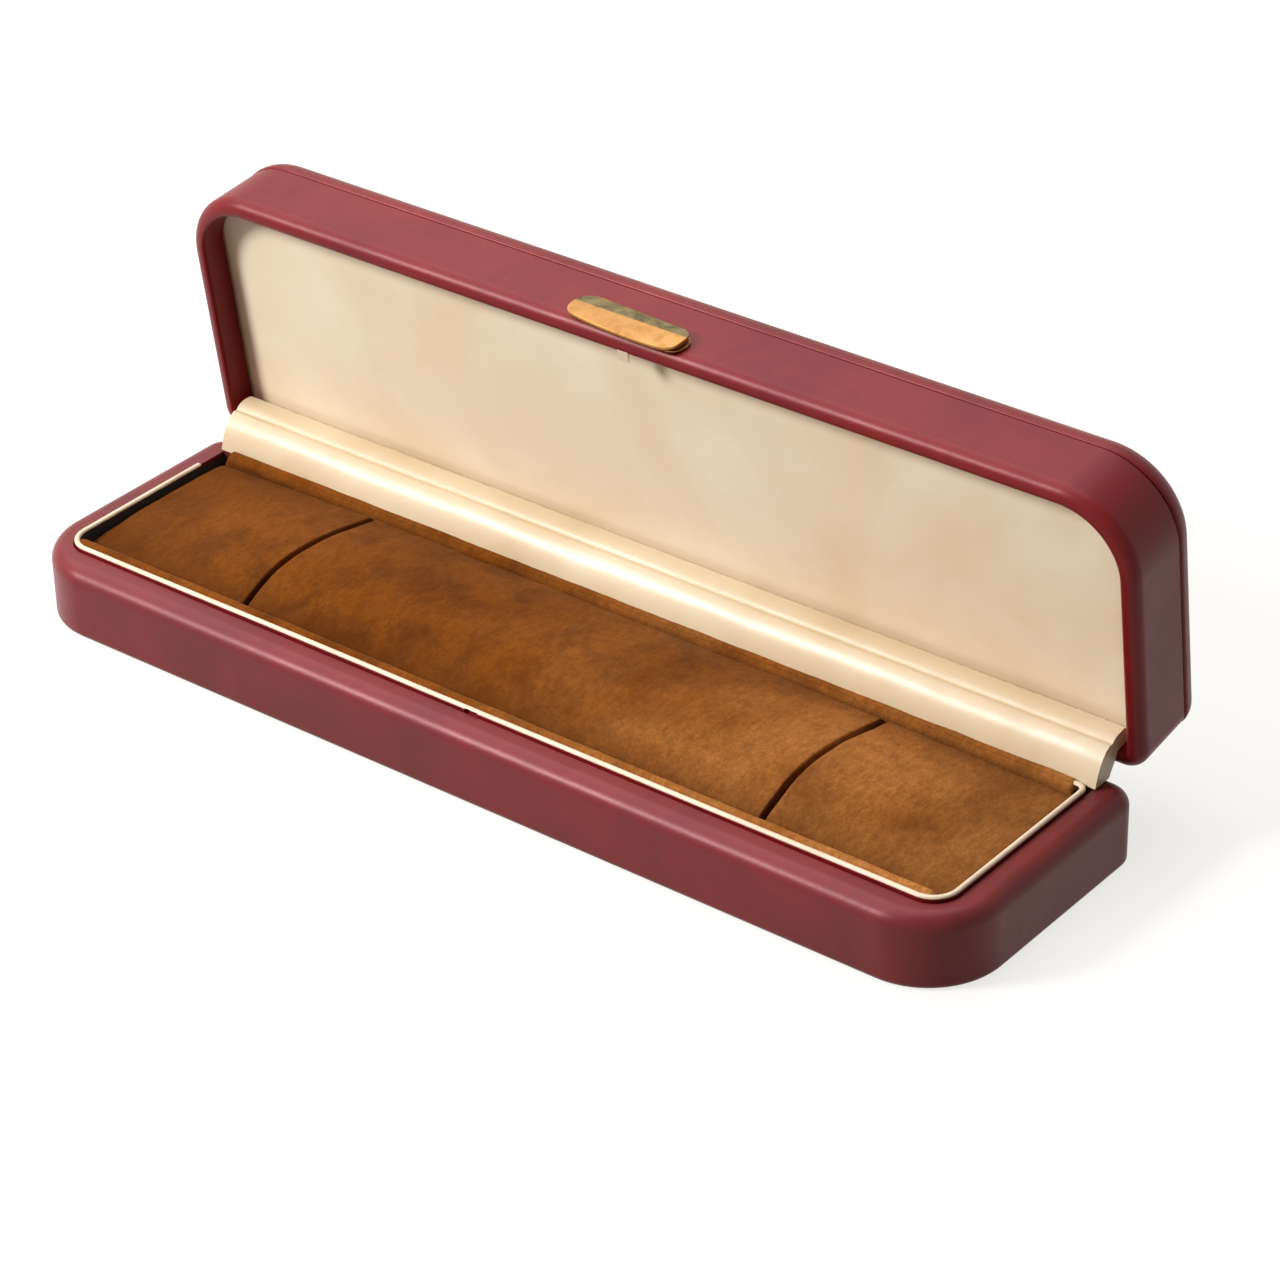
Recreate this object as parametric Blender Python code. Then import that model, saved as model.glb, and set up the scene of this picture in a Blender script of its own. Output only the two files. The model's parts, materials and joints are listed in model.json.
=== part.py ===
"""Bracelet case: a leather-covered wooden box with a hinged lid, drawn open.

The base is modelled where it stands, with the middle of its underside at the origin, +X to the right
and +Y to the hinge. The lid is modelled shut and then turned about the hinge pin to its open pose.
"""
import math

import bmesh
import bpy
from mathutils import Matrix

# Outer sizes of the case
case_length = 0.2384
case_depth = 0.0632
base_height = 0.0162
lid_height = 0.0219
front_corner_radius = 0.017
rear_corner_radius = 0.005
open_angle = math.radians(82.5)

# Clearances
seat_gap = 0.0003
fine_gap = 0.0001
cut_overrun = 0.003

# Covering and wooden walls
leather_thickness = 0.0010
base_shoulder_radius = 0.0035
base_foot_radius = 0.0014
base_turn_in = 0.0070
base_rim_width = 0.0065
base_floor_thickness = 0.0022
lid_front_setback = 0.0012
lid_rim_width = 0.0038
lid_rim_outer_radius = 0.0022
lid_rim_inner_radius = 0.0012
lid_crown_radius = 0.0050
lid_draft_share = 0.03
lid_groove_height = 0.0156
lid_groove_width = 0.0005
lid_top_thickness = 0.0024
lid_step_width = 0.0030

# Collar
collar_thickness = 0.0015
collar_rise = 0.0012
collar_corner_radius = 0.0060
collar_rear_radius = 0.0024
collar_open_length = 0.0080
collar_bead_share = 0.45

# Pads
board_thickness = 0.0020
pad_edge_drop = 0.0030
pad_crown = 0.0040
pad_slit_spacing = 0.1350
pad_slit_width = 0.0012
pad_edge_radius = 0.0016
pad_end_drop = 0.0016
pad_end_reach = 0.0090
pad_side_draw = 0.0006
back_welt_width = 0.0028
front_welt_width = 0.0018
welt_drop = 0.0024
collar_side_gap = 0.0014

# Lid lining
recess_depth = 0.0062
satin_thickness = 0.0016
satin_crown = 0.0006
panel_board_thickness = 0.0020

# Hinge
hinge_setback = 0.0010
barrel_radius = 0.0014
pin_radius = 0.00060
bore_clearance = 0.00006
leaf_thickness = 0.0006
leaf_height = 0.0075
leaf_length = 0.2160
knuckle_count = 11
spine_thickness = 0.0008
spine_reach = 0.0086
spine_length = 0.2212
cover_length = 0.2264
cover_rise = 0.0078
cover_bulge = 0.0013
cover_strip_thickness = 0.0026
cover_seam_depth = 0.0004

# Button and catch
button_length = 0.0283
button_height = 0.0089
button_thickness = 0.0009
button_centre_height = 0.0037
button_side_shift = -0.0008
button_tilt = math.radians(-2.5)
button_travel = 0.0004
button_bevel = 0.0004
button_end_share = 0.36
button_bow_share = 0.07
plate_thickness = 0.0002
plate_end_margin = 0.0007
plate_side_margin = -0.0009
stem_radius = 0.0009
stem_height = 0.0052
stem_lever_gap = 0.0002
lever_width = 0.0026
lever_thickness = 0.0006
lever_top = 0.0062
lever_pivot_height = 0.0028
lever_setback = 0.0034
lever_joggle = 0.0012
lever_swing = 0.0007
tooth_thickness = 0.00035
tooth_tip_thickness = 0.00012
tooth_base_gap = 0.00008
tooth_bite = 0.00035
axle_radius = 0.00035
axle_length = 0.0090
spring_thickness = 0.0002
catch_cover_thickness = 0.0003

# Facets
front_corner_steps = 9
rear_corner_steps = 4
shoulder_steps = 6
small_arc_steps = 3
bow_steps = 4
pad_rows = 10
pad_short_columns = 5
pad_long_columns = 10
roll_steps = 8
path_steps = 4
barrel_steps = 16
pin_steps = 12

half_length = case_length / 2
half_depth = case_depth / 2
lid_front = lid_front_setback - half_depth
rim_height = base_height + seat_gap
axis_y = half_depth + hinge_setback
axis_z = base_height + seat_gap / 2
skin = leather_thickness + seat_gap
floor_bottom = skin
floor_top = floor_bottom + base_floor_thickness
collar_outer = base_rim_width + seat_gap
collar_inner = collar_outer + collar_thickness
tray_corner_radius = collar_corner_radius + seat_gap
lip_top = base_height + collar_rise
pad_floor = floor_top + seat_gap + board_thickness + seat_gap
pad_edge_height = lip_top - pad_edge_drop


def clear_scene():
    for item in list(bpy.data.objects):
        bpy.data.objects.remove(item, do_unlink=True)


def material(name, color, roughness, metallic=0.0):
    found = bpy.data.materials.get(name)
    if found:
        return found
    made = bpy.data.materials.new(name)
    made.use_nodes = True
    shader = made.node_tree.nodes["Principled BSDF"]
    shader.inputs["Base Color"].default_value = (*color, 1.0)
    shader.inputs["Roughness"].default_value = roughness
    shader.inputs["Metallic"].default_value = metallic
    made.diffuse_color = (*color, 1.0)
    return made


def red_leather():
    return material("red_leather", (0.22, 0.035, 0.04), 0.38)


def bare_wood():
    return material("bare_wood", (0.50, 0.36, 0.22), 0.7)


def cream_card():
    return material("cream_card", (0.82, 0.66, 0.42), 0.45)


def grey_board():
    return material("grey_board", (0.42, 0.38, 0.32), 0.9)


def brown_velvet():
    return material("brown_velvet", (0.30, 0.11, 0.02), 0.95)


def cream_satin():
    return material("cream_satin", (0.85, 0.70, 0.48), 0.4)


def gilt_brass():
    return material("gilt_brass", (0.72, 0.42, 0.13), 0.28, 1.0)


def spring_steel():
    return material("spring_steel", (0.50, 0.50, 0.50), 0.35, 1.0)


def foot_paper():
    return material("foot_paper", (0.14, 0.03, 0.035), 0.7)


def arc(centre, radius, start, end, steps):
    """Points on an arc, in degrees, ends included."""
    points = []
    for i in range(steps + 1):
        angle = math.radians(start + (end - start) * i / steps)
        points.append((centre[0] + radius * math.cos(angle), centre[1] + radius * math.sin(angle)))
    return points


def rounded_loop(x, y, front, rear):
    """A rectangle of half sizes x and y as one loop, with its own radius at each end of the depth."""
    loop = arc((x - rear, y - rear), rear, 0, 90, rear_corner_steps)
    loop += arc((-x + rear, y - rear), rear, 90, 180, rear_corner_steps)
    loop += arc((-x + front, -y + front), front, 180, 270, front_corner_steps)
    loop += arc((x - front, -y + front), front, 270, 360, front_corner_steps)
    return loop


def lid_plan(inset):
    """The lid's plan, drawn in by inset. Its front stands back a little from the base's."""
    front = front_corner_radius - inset
    rear = max(rear_corner_radius - inset, seat_gap)
    back = lid_front_setback / 2
    loop = rounded_loop(half_length - inset, half_depth - back - inset, front, rear)
    return [(x, y + back) for x, y in loop]


def base_plan(inset):
    """As the lid's plan as far as the shoulder, then the corners tighten to the tray's own."""
    share = (inset - base_shoulder_radius) / (base_rim_width - base_shoulder_radius)
    share = min(max(share, 0.0), 1.0)
    front = (front_corner_radius - inset) * (1 - share) + tray_corner_radius * share
    rear = max(rear_corner_radius - inset, seat_gap)
    return rounded_loop(half_length - inset, half_depth - inset, front, rear)


def finish_mesh(bm, name, look, parent=None, smooth_angle=35.0):
    """Turn a bmesh into a named object, with faces pointing out and flat caps kept crisp."""
    bmesh.ops.recalc_face_normals(bm, faces=bm.faces)
    mesh = bpy.data.meshes.new(name)
    bm.to_mesh(mesh)
    bm.free()
    mesh.shade_smooth()
    mesh.set_sharp_from_angle(angle=math.radians(smooth_angle))
    mesh.materials.append(look)
    made = bpy.data.objects.new(name, mesh)
    bpy.context.scene.collection.objects.link(made)
    made.parent = parent
    return made


def skin_loops(bm, loops, closed):
    """Join loops of equal length with quads. An open stack gets a cap at each end."""
    rings = [[bm.verts.new(point) for point in loop] for loop in loops]
    count = len(rings[0])
    pairs = list(zip(rings, rings[1:]))
    if closed:
        pairs.append((rings[-1], rings[0]))
    for low, high in pairs:
        for i in range(count):
            j = (i + 1) % count
            bm.faces.new((low[i], low[j], high[j], high[i]))
    if not closed:
        bm.faces.new(rings[0])
        bm.faces.new(rings[-1])
    return rings


def plan_sweep(name, profile, look, closed, parent=None):
    """Carry a profile of (inset, height) points round the base's plan, or the lid's if it has a parent."""
    bm = bmesh.new()
    plan = lid_plan if parent else base_plan
    shift = (axis_y, axis_z) if parent else (0.0, 0.0)
    loops = []
    for inset, height in profile:
        loops.append([(x, y - shift[0], height - shift[1]) for x, y in plan(inset)])
    skin_loops(bm, loops, closed)
    return finish_mesh(bm, name, look, parent)


def long_prism(name, section, length, look, parent=None):
    """A section of (y, z) points drawn out along X, centred."""
    bm = bmesh.new()
    loops = [[(x, y, z) for y, z in section] for x in (-length / 2, length / 2)]
    skin_loops(bm, loops, False)
    return finish_mesh(bm, name, look, parent)


def box_cutter(name, low, high, parent=None):
    bm = bmesh.new()
    bmesh.ops.create_cube(bm, size=1.0)
    size = [b - a for a, b in zip(low, high)]
    centre = [(a + b) / 2 for a, b in zip(low, high)]
    bmesh.ops.scale(bm, vec=size, verts=bm.verts)
    bmesh.ops.translate(bm, vec=centre, verts=bm.verts)
    return as_cutter(finish_mesh(bm, name, grey_board(), parent))


def as_cutter(made):
    made.hide_render = True
    made.display_type = 'WIRE'
    return made


def rod(name, radius, length, steps, look, along, centre, parent=None):
    """A round bar along X or Y."""
    bm = bmesh.new()
    bmesh.ops.create_cone(bm, cap_ends=True, segments=steps, radius1=radius, radius2=radius, depth=length)
    axis = {"x": 'Y', "y": 'X'}[along]
    bmesh.ops.rotate(bm, verts=bm.verts, cent=(0, 0, 0), matrix=Matrix.Rotation(math.pi / 2, 3, axis))
    bmesh.ops.translate(bm, vec=centre, verts=bm.verts)
    return finish_mesh(bm, name, look, parent)


def combine(target, tool, operation):
    boolean = target.modifiers.new(operation.lower(), 'BOOLEAN')
    boolean.operation = operation
    boolean.object = tool
    boolean.solver = 'EXACT'
    return target


def cut(target, tool):
    return combine(target, tool, 'DIFFERENCE')


def pivot(name, place, parent=None):
    made = bpy.data.objects.new(name, None)
    made.empty_display_size = barrel_radius
    made.location = place
    made.parent = parent
    bpy.context.scene.collection.objects.link(made)
    return made


def build_base_shell():
    inner_radius = base_shoulder_radius - skin
    top = base_height - skin
    wall_inner = base_rim_width
    profile = [(skin, floor_bottom)]
    profile += arc((skin + inner_radius, top - inner_radius), -inner_radius, 0, -90, shoulder_steps)
    profile += [(wall_inner, top), (wall_inner, floor_top)]
    return plan_sweep("base_shell", profile, bare_wood(), False)


def build_base_leather():
    outer = [(base_turn_in, 0.0)]
    outer += arc((base_foot_radius, base_foot_radius), base_foot_radius, 270, 180, small_arc_steps)
    corner = (base_shoulder_radius, base_height - base_shoulder_radius)
    outer += arc(corner, base_shoulder_radius, 180, 90, shoulder_steps)
    outer += [(base_rim_width, base_height)]
    inner_foot = base_foot_radius - leather_thickness
    inner = [(base_rim_width, base_height - leather_thickness)]
    inner += arc(corner, base_shoulder_radius - leather_thickness, 90, 180, shoulder_steps)
    inner += arc((base_foot_radius, base_foot_radius), inner_foot, 180, 270, small_arc_steps)
    inner += [(base_turn_in, leather_thickness)]
    leather = plan_sweep("base_leather", outer + inner, red_leather(), True)
    low = (-leaf_length / 2 - cut_overrun, half_depth - skin + fine_gap, axis_z - leaf_height - skin)
    high = (leaf_length / 2 + cut_overrun, half_depth + cut_overrun, base_height + cut_overrun)
    return cut(leather, box_cutter("base_hinge_notch", low, high))


def build_foot_panel():
    inset = base_turn_in + seat_gap
    profile = [(inset, 0.0), (inset, leather_thickness)]
    return plan_sweep("base_foot_panel", profile, foot_paper(), False)


def collar_path(offset):
    """The lip's line, open at the left rear corner, drawn in by offset."""
    x = half_length - collar_outer - offset
    y = half_depth - collar_outer - offset
    front = collar_corner_radius - offset
    rear = max(collar_rear_radius - offset, seat_gap)
    points = [(-x, y - collar_open_length)]
    points += arc((-x + front, -y + front), front, 180, 270, front_corner_steps)
    points += arc((x - front, -y + front), front, 270, 360, front_corner_steps)
    points += arc((x - rear, y - rear), rear, 0, 90, rear_corner_steps)
    points += [(-x + collar_open_length, y)]
    return points


def build_collar():
    bottom = floor_top + seat_gap
    bead = collar_thickness * collar_bead_share
    profile = [(0.0, bottom), (0.0, lip_top - bead)]
    profile += [(x, z) for x, z in arc((bead, lip_top - bead), bead, 180, 90, small_arc_steps)][1:]
    inner = collar_thickness - bead
    profile += [(x, z) for x, z in arc((inner, lip_top - bead), bead, 90, 0, small_arc_steps)]
    profile += [(collar_thickness, bottom)]
    bm = bmesh.new()
    columns = [collar_path(inset) for inset, height in profile]
    loops = []
    for i in range(len(columns[0])):
        loops.append([(column[i][0], column[i][1], height)
                      for column, (inset, height) in zip(columns, profile)])
    skin_loops(bm, loops, False)
    collar = finish_mesh(bm, "base_collar", cream_card(), None)
    reach = collar_outer + tooth_bite + seat_gap
    low = (-lever_width / 2 - seat_gap, -half_depth, base_height - seat_gap)
    high = (lever_width / 2 + seat_gap, -half_depth + reach, rim_height + tooth_base_gap + tooth_thickness + fine_gap)
    return cut(collar, box_cutter("keeper_slot", low, high))


def build_pad_board():
    inset = collar_inner + seat_gap
    front = collar_corner_radius - collar_thickness
    rear = collar_rear_radius - collar_thickness
    loop = rounded_loop(half_length - inset, half_depth - inset, front, rear)
    low = floor_top + seat_gap
    bm = bmesh.new()
    skin_loops(bm, [[(x, y, z) for x, y in loop] for z in (low, low + board_thickness)], False)
    return finish_mesh(bm, "pad_board", grey_board())


def graded(low, high, radius, middle):
    """Stations across a pad, close together over the rounded edges."""
    edge_shares = (0.0, 0.15, 0.45, 1.0)
    stations = [low + radius * share for share in edge_shares]
    span = high - low - 2 * radius
    stations += [low + radius + span * i / middle for i in range(1, middle)]
    stations += [high - radius * share for share in reversed(edge_shares)]
    return stations


def edge_fall(distance, radius):
    """How far a rounded edge lies below its flat, at a distance in from the edge."""
    if distance >= radius:
        return 0.0
    return radius - math.sqrt(max(radius ** 2 - (radius - distance) ** 2, 0.0))


def pad_height(x, y, x_low, x_high, y_low, y_high, free_end):
    """Top of a crowned pad: an arch front to back, rounded edges, a lower outer end."""
    middle = (y_low + y_high) / 2
    half = (y_high - y_low) / 2
    arch = pad_crown * (1 - ((y - middle) / half) ** 2)
    fall = edge_fall(min(x - x_low, x_high - x), pad_edge_radius)
    fall += edge_fall(min(y - y_low, y_high - y), pad_edge_radius)
    end = {"left": x - x_low, "right": x_high - x, "none": pad_end_reach}[free_end]
    lean = max(0.0, 1 - end / pad_end_reach) ** 2
    return pad_edge_height + arch * (1 - lean / 2) - fall - pad_end_drop * lean


def build_pad(name, x_low, x_high, free_end, steps_x, look):
    side = half_depth - collar_inner
    y_low = -side + front_welt_width + 2 * seat_gap
    y_high = side - back_welt_width - 2 * seat_gap
    xs = graded(x_low, x_high, pad_edge_radius, steps_x)
    ys = graded(y_low, y_high, pad_edge_radius, pad_rows)
    bm = bmesh.new()
    grid = [[bm.verts.new((x, y, pad_height(x, y, x_low, x_high, y_low, y_high, free_end)))
             for y in ys] for x in xs]
    for i in range(len(xs) - 1):
        for j in range(len(ys) - 1):
            bm.faces.new((grid[i][j], grid[i + 1][j], grid[i + 1][j + 1], grid[i][j + 1]))
    rim = [grid[i][0] for i in range(len(xs))]
    rim += [grid[-1][j] for j in range(1, len(ys))]
    rim += [grid[i][-1] for i in range(len(xs) - 2, -1, -1)]
    rim += [grid[0][j] for j in range(len(ys) - 2, 0, -1)]
    centre_x = (x_low + x_high) / 2
    half_x = (x_high - x_low) / 2
    half_y = (y_high - y_low) / 2
    centre_y = (y_low + y_high) / 2
    waist_height = (pad_floor + pad_edge_height) / 2
    waist, foot = [], []
    for vert in rim:
        x, y, _ = vert.co
        draw_x = 1 - pad_side_draw / half_x
        draw_y = 1 - pad_side_draw / half_y
        waist.append(bm.verts.new((centre_x + (x - centre_x) * draw_x, centre_y + (y - centre_y) * draw_y,
                                   waist_height)))
        foot.append(bm.verts.new((x, y, pad_floor)))
    for upper, lower in ((rim, waist), (waist, foot)):
        for i in range(len(rim)):
            j = (i + 1) % len(rim)
            bm.faces.new((upper[i], upper[j], lower[j], lower[i]))
    bm.faces.new(foot)
    return finish_mesh(bm, name, look)


def build_pads():
    outer = half_length - collar_inner - collar_side_gap
    slit = pad_slit_spacing / 2
    half_slit = pad_slit_width / 2
    build_pad("pad_left", -outer, -slit - half_slit, "left", pad_short_columns, brown_velvet())
    build_pad("pad_centre", -slit + half_slit, slit - half_slit, "none", pad_long_columns, brown_velvet())
    build_pad("pad_right", slit + half_slit, outer, "right", pad_short_columns, brown_velvet())


def build_welt(name, y_low, y_high, end_gap):
    """A velvet-covered strip with a rounded top."""
    radius = (y_high - y_low) / 2
    top = lip_top - welt_drop
    section = [(y_low, pad_floor)]
    section += arc((y_low + radius, top - radius), radius, 180, 0, shoulder_steps)
    section += [(y_high, pad_floor)]
    return long_prism(name, section, 2 * (half_length - collar_inner - end_gap), brown_velvet())


def build_welts():
    side = half_depth - collar_inner - seat_gap
    build_welt("pad_back_welt", side - back_welt_width, side, collar_side_gap)
    build_welt("pad_front_welt", -side, -side + front_welt_width, collar_corner_radius - collar_thickness)


def lid_inset(inset, height):
    """Lid walls lean in a little towards the top."""
    return inset + lid_draft_share * height


def lid_profile(points):
    return [(lid_inset(inset, height), rim_height + height) for inset, height in points]


def lid_cutter(name, low, high, lid):
    low = (low[0], low[1] - axis_y, low[2] - axis_z)
    high = (high[0], high[1] - axis_y, high[2] - axis_z)
    return box_cutter(name, low, high, lid)


def catch_pocket(name, near, lid):
    """Room for the catch in the front wall, from a depth near inside its face to the inside of the lid."""
    low = (-axle_length / 2 - seat_gap, lid_front + near, rim_height + skin)
    high = (axle_length / 2 + seat_gap, lid_front + lid_rim_width + cut_overrun,
            rim_height + recess_depth + seat_gap)
    return lid_cutter(name, low, high, lid)


def tooth_notch(name, lid):
    inset = lever_setback + lever_joggle - lever_thickness / 2 - lever_swing
    low = (-lever_width / 2 - seat_gap, -half_depth + inset, rim_height - cut_overrun)
    high = (lever_width / 2 + seat_gap, lid_front + lid_rim_width + cut_overrun,
            rim_height + recess_depth + seat_gap)
    return lid_cutter(name, low, high, lid)


def stem_hole(name, lid):
    place = (0.0, lid_front - axis_y, rim_height + stem_height - axis_z)
    return as_cutter(rod(name, stem_radius + seat_gap, 3 * lid_rim_width, pin_steps, grey_board(), "y", place, lid))


def hinge_notch(name, lid):
    low = (-leaf_length / 2 - cut_overrun, half_depth - skin + fine_gap, rim_height - cut_overrun)
    high = (leaf_length / 2 + cut_overrun, half_depth + cut_overrun, axis_z + leaf_height + skin)
    return lid_cutter(name, low, high, lid)


def build_lid_shell(lid):
    radius = lid_rim_outer_radius - skin
    crown = lid_crown_radius - skin
    top = lid_height - skin
    ceiling = top - lid_top_thickness
    inner = lid_rim_width - skin
    step = recess_depth + satin_thickness + seat_gap + panel_board_thickness + seat_gap
    points = [(inner + lid_step_width, ceiling), (inner + lid_step_width, step), (inner, step), (inner, skin)]
    points += arc((skin + radius, skin + radius), radius, 270, 180, small_arc_steps)
    points += arc((skin + crown, top - crown), crown, 180, 90, shoulder_steps)
    shell = plan_sweep("lid_shell", lid_profile(points), bare_wood(), False, lid)
    through = lid_inset(leather_thickness, recess_depth + seat_gap) + fine_gap
    return cut(shell, catch_pocket("catch_pocket_wood", through, lid))


def build_lid_side_leather(lid):
    groove = lid_groove_height
    radius = lid_rim_outer_radius
    nose = lid_rim_inner_radius
    end = recess_depth - seat_gap
    outer = [(0.0, groove)]
    outer += arc((radius, radius), radius, 180, 270, shoulder_steps)
    outer += arc((lid_rim_width - nose, nose), nose, 270, 360, small_arc_steps)
    outer += [(lid_rim_width, end)]
    thin = leather_thickness
    inner = [(lid_rim_width - thin, end)]
    inner += arc((lid_rim_width - nose, nose), nose - thin, 360, 270, small_arc_steps)
    inner += arc((radius, radius), radius - thin, 270, 180, shoulder_steps)
    inner += [(thin, groove)]
    leather = plan_sweep("lid_side_leather", lid_profile(outer + inner), red_leather(), True, lid)
    cut(leather, hinge_notch("lid_hinge_notch", lid))
    cut(leather, catch_pocket("catch_pocket_leather", radius, lid))
    cut(leather, tooth_notch("tooth_notch", lid))
    return cut(leather, stem_hole("stem_hole_leather", lid))


def build_lid_top_leather(lid):
    low = lid_groove_height + lid_groove_width
    crown = lid_crown_radius
    centre = (crown, lid_height - crown)
    outer = arc(centre, crown, 90, 180, shoulder_steps) + [(0.0, low)]
    inner = [(leather_thickness, low)] + arc(centre, crown - leather_thickness, 180, 90, shoulder_steps)
    return plan_sweep("lid_top_leather", lid_profile(outer + inner), red_leather(), False, lid)


def build_lid_panel(lid):
    inset = lid_rim_width - skin + seat_gap
    low = recess_depth + satin_thickness + seat_gap
    high = low + panel_board_thickness
    board = [(inset, low), (inset, high)]
    plan_sweep("lid_panel_board", lid_profile(board), grey_board(), False, lid)
    top = recess_depth + satin_thickness
    edge = satin_crown
    satin = [(inset + edge + lid_step_width, recess_depth - satin_crown / 2), (inset + edge, recess_depth)]
    satin += [(inset, recess_depth + edge), (inset, top)]
    plan_sweep("lid_satin_panel", lid_profile(satin), cream_satin(), False, lid)


def knuckle(name, x_low, x_high, parent, look):
    """One barrel of the hinge, a tube round the pin."""
    bm = bmesh.new()
    outer = arc((0.0, 0.0), barrel_radius, 0, 360, barrel_steps)[:-1]
    inner = arc((0.0, 0.0), pin_radius + bore_clearance, 0, 360, barrel_steps)[:-1]
    loops = [[(x, y, z) for y, z in ring] for x, ring in
             ((x_low, outer), (x_high, outer), (x_high, inner), (x_low, inner))]
    skin_loops(bm, loops, True)
    return finish_mesh(bm, name, look, parent)


def tab_box(name, x_low, x_high, up, parent):
    """The bent tab between a leaf's plate and its barrel."""
    face = -(hinge_setback + skin) + seat_gap
    heights = sorted((up * leaf_thickness / 2, up * barrel_radius))
    low = (x_low, face, heights[0])
    high = (x_high, -pin_radius - seat_gap, heights[1])
    return box_cutter(name, low, high, parent)


def build_leaf(name, up, first, parent):
    """A hinge leaf: a plate, and every second knuckle from first. Up is 1 on the lid and -1 on the base."""
    look = spring_steel()
    pitch = leaf_length / knuckle_count
    face = -(hinge_setback + skin) + seat_gap
    heights = sorted((up * (barrel_radius - leaf_thickness / 2), up * leaf_height))
    bm = bmesh.new()
    bmesh.ops.create_cube(bm, size=1.0)
    bmesh.ops.scale(bm, vec=(leaf_length, leaf_thickness, heights[1] - heights[0]), verts=bm.verts)
    bmesh.ops.translate(bm, vec=(0, face + leaf_thickness / 2, sum(heights) / 2), verts=bm.verts)
    leaf = finish_mesh(bm, name, look, parent)
    for i in range(first, knuckle_count, 2):
        x_low = -leaf_length / 2 + pitch * i + seat_gap / 2
        x_high = x_low + pitch - seat_gap
        tab = tab_box("%s_tab_%d" % (name, i), x_low, x_high, up, parent)
        combine(leaf, tab, 'UNION')
        barrel = as_cutter(knuckle("%s_barrel_%d" % (name, i), x_low, x_high, parent, look))
        combine(leaf, barrel, 'UNION')
    return leaf


def smooth_path(points, steps):
    """A Catmull-Rom curve through the points."""
    padded = [points[0]] + list(points) + [points[-1]]
    path = []
    for a, b, c, d in zip(padded, padded[1:], padded[2:], padded[3:]):
        for i in range(steps):
            t = i / steps
            path.append(tuple(0.5 * (2 * q + (r - p) * t + (2 * p - 5 * q + 4 * r - s) * t ** 2
                                     + (3 * q - p - 3 * r + s) * t ** 3)
                              for p, q, r, s in zip(a, b, c, d)))
    path.append(tuple(points[-1]))
    return path


def band(path, thickness):
    """A closed section of even thickness about a path."""
    left, right = [], []
    for i, (y, z) in enumerate(path):
        before = path[max(i - 1, 0)]
        after = path[min(i + 1, len(path) - 1)]
        dy, dz = after[0] - before[0], after[1] - before[1]
        length = math.hypot(dy, dz)
        ny, nz = -dz / length * thickness / 2, dy / length * thickness / 2
        left.append((y + ny, z + nz))
        right.append((y - ny, z - nz))
    return left + right[::-1]


def opened(y, z):
    """Where a point of the shut lid, given from the hinge pin, lies when the lid is open."""
    c, s = math.cos(open_angle), math.sin(open_angle)
    return axis_y + y * c + z * s, axis_z - y * s + z * c


def build_hinge_spine():
    """Leather over the back of the hinge, from the base's wall round the barrel to the lid's."""
    middle = -(hinge_setback + skin) + seat_gap + leaf_thickness + seat_gap + spine_thickness / 2
    leave = barrel_radius + spine_thickness + 2 * seat_gap
    wrap = barrel_radius + seat_gap + spine_thickness / 2 + fine_gap
    base_points = [(axis_y + middle, axis_z - spine_reach), (axis_y + middle, axis_z - leave - barrel_radius / 2)]
    lid_points = [opened(middle, leave + barrel_radius / 2), opened(middle, spine_reach)]
    bend = [math.radians(angle) - open_angle / 2 for angle in (-20, 0, 20)]
    bend_points = [(axis_y + wrap * math.cos(a), axis_z + wrap * math.sin(a)) for a in bend]
    path = smooth_path(base_points + bend_points + lid_points, path_steps)
    return long_prism("hinge_spine", band(path, spine_thickness), spine_length, red_leather())


def build_hinge_cover():
    """Satin roll inside the hinge: a padded front roll, a sewn fold, and a strip back to the panel."""
    foot_y = half_depth - collar_outer + seat_gap
    foot_z = base_height + seat_gap
    wall = -(hinge_setback + lid_rim_width + seat_gap + fine_gap)
    strip_out = wall - cover_strip_thickness
    crest = opened(strip_out, -seat_gap)
    crest = (crest[0], foot_z + cover_rise)
    section = [(foot_y, foot_z)]
    run, rise = crest[0] - foot_y, crest[1] - foot_z
    length = math.hypot(run, rise)
    for i in range(1, roll_steps):
        t = i / roll_steps
        swell = cover_bulge * math.sin(math.pi * t)
        section.append((foot_y + run * t - rise / length * swell, foot_z + rise * t + run / length * swell))
    section.append((crest[0] - cover_seam_depth, crest[1]))
    section.append((crest[0], crest[1] - cover_seam_depth))
    section.append((crest[0] + cover_seam_depth, crest[1] + cover_seam_depth / 2))
    strip_end = recess_depth - seat_gap
    section.append(opened(strip_out - cover_seam_depth, strip_end / 2))
    section.append(opened(strip_out, strip_end))
    section.append(opened(wall - lid_draft_share * strip_end, strip_end))
    section.append(opened(wall, -seat_gap))
    section.append(opened(-(hinge_setback + lid_rim_outer_radius), -seat_gap))
    clear = barrel_radius + seat_gap + fine_gap
    section.append((axis_y - clear * math.sin(math.radians(30)), axis_z + clear * math.cos(math.radians(30))))
    section.append((axis_y - clear * math.sin(math.radians(75)), axis_z + clear * math.cos(math.radians(75))))
    section.append((axis_y - clear - fine_gap, foot_z))
    return long_prism("hinge_cover", section, cover_length, cream_satin())


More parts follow.
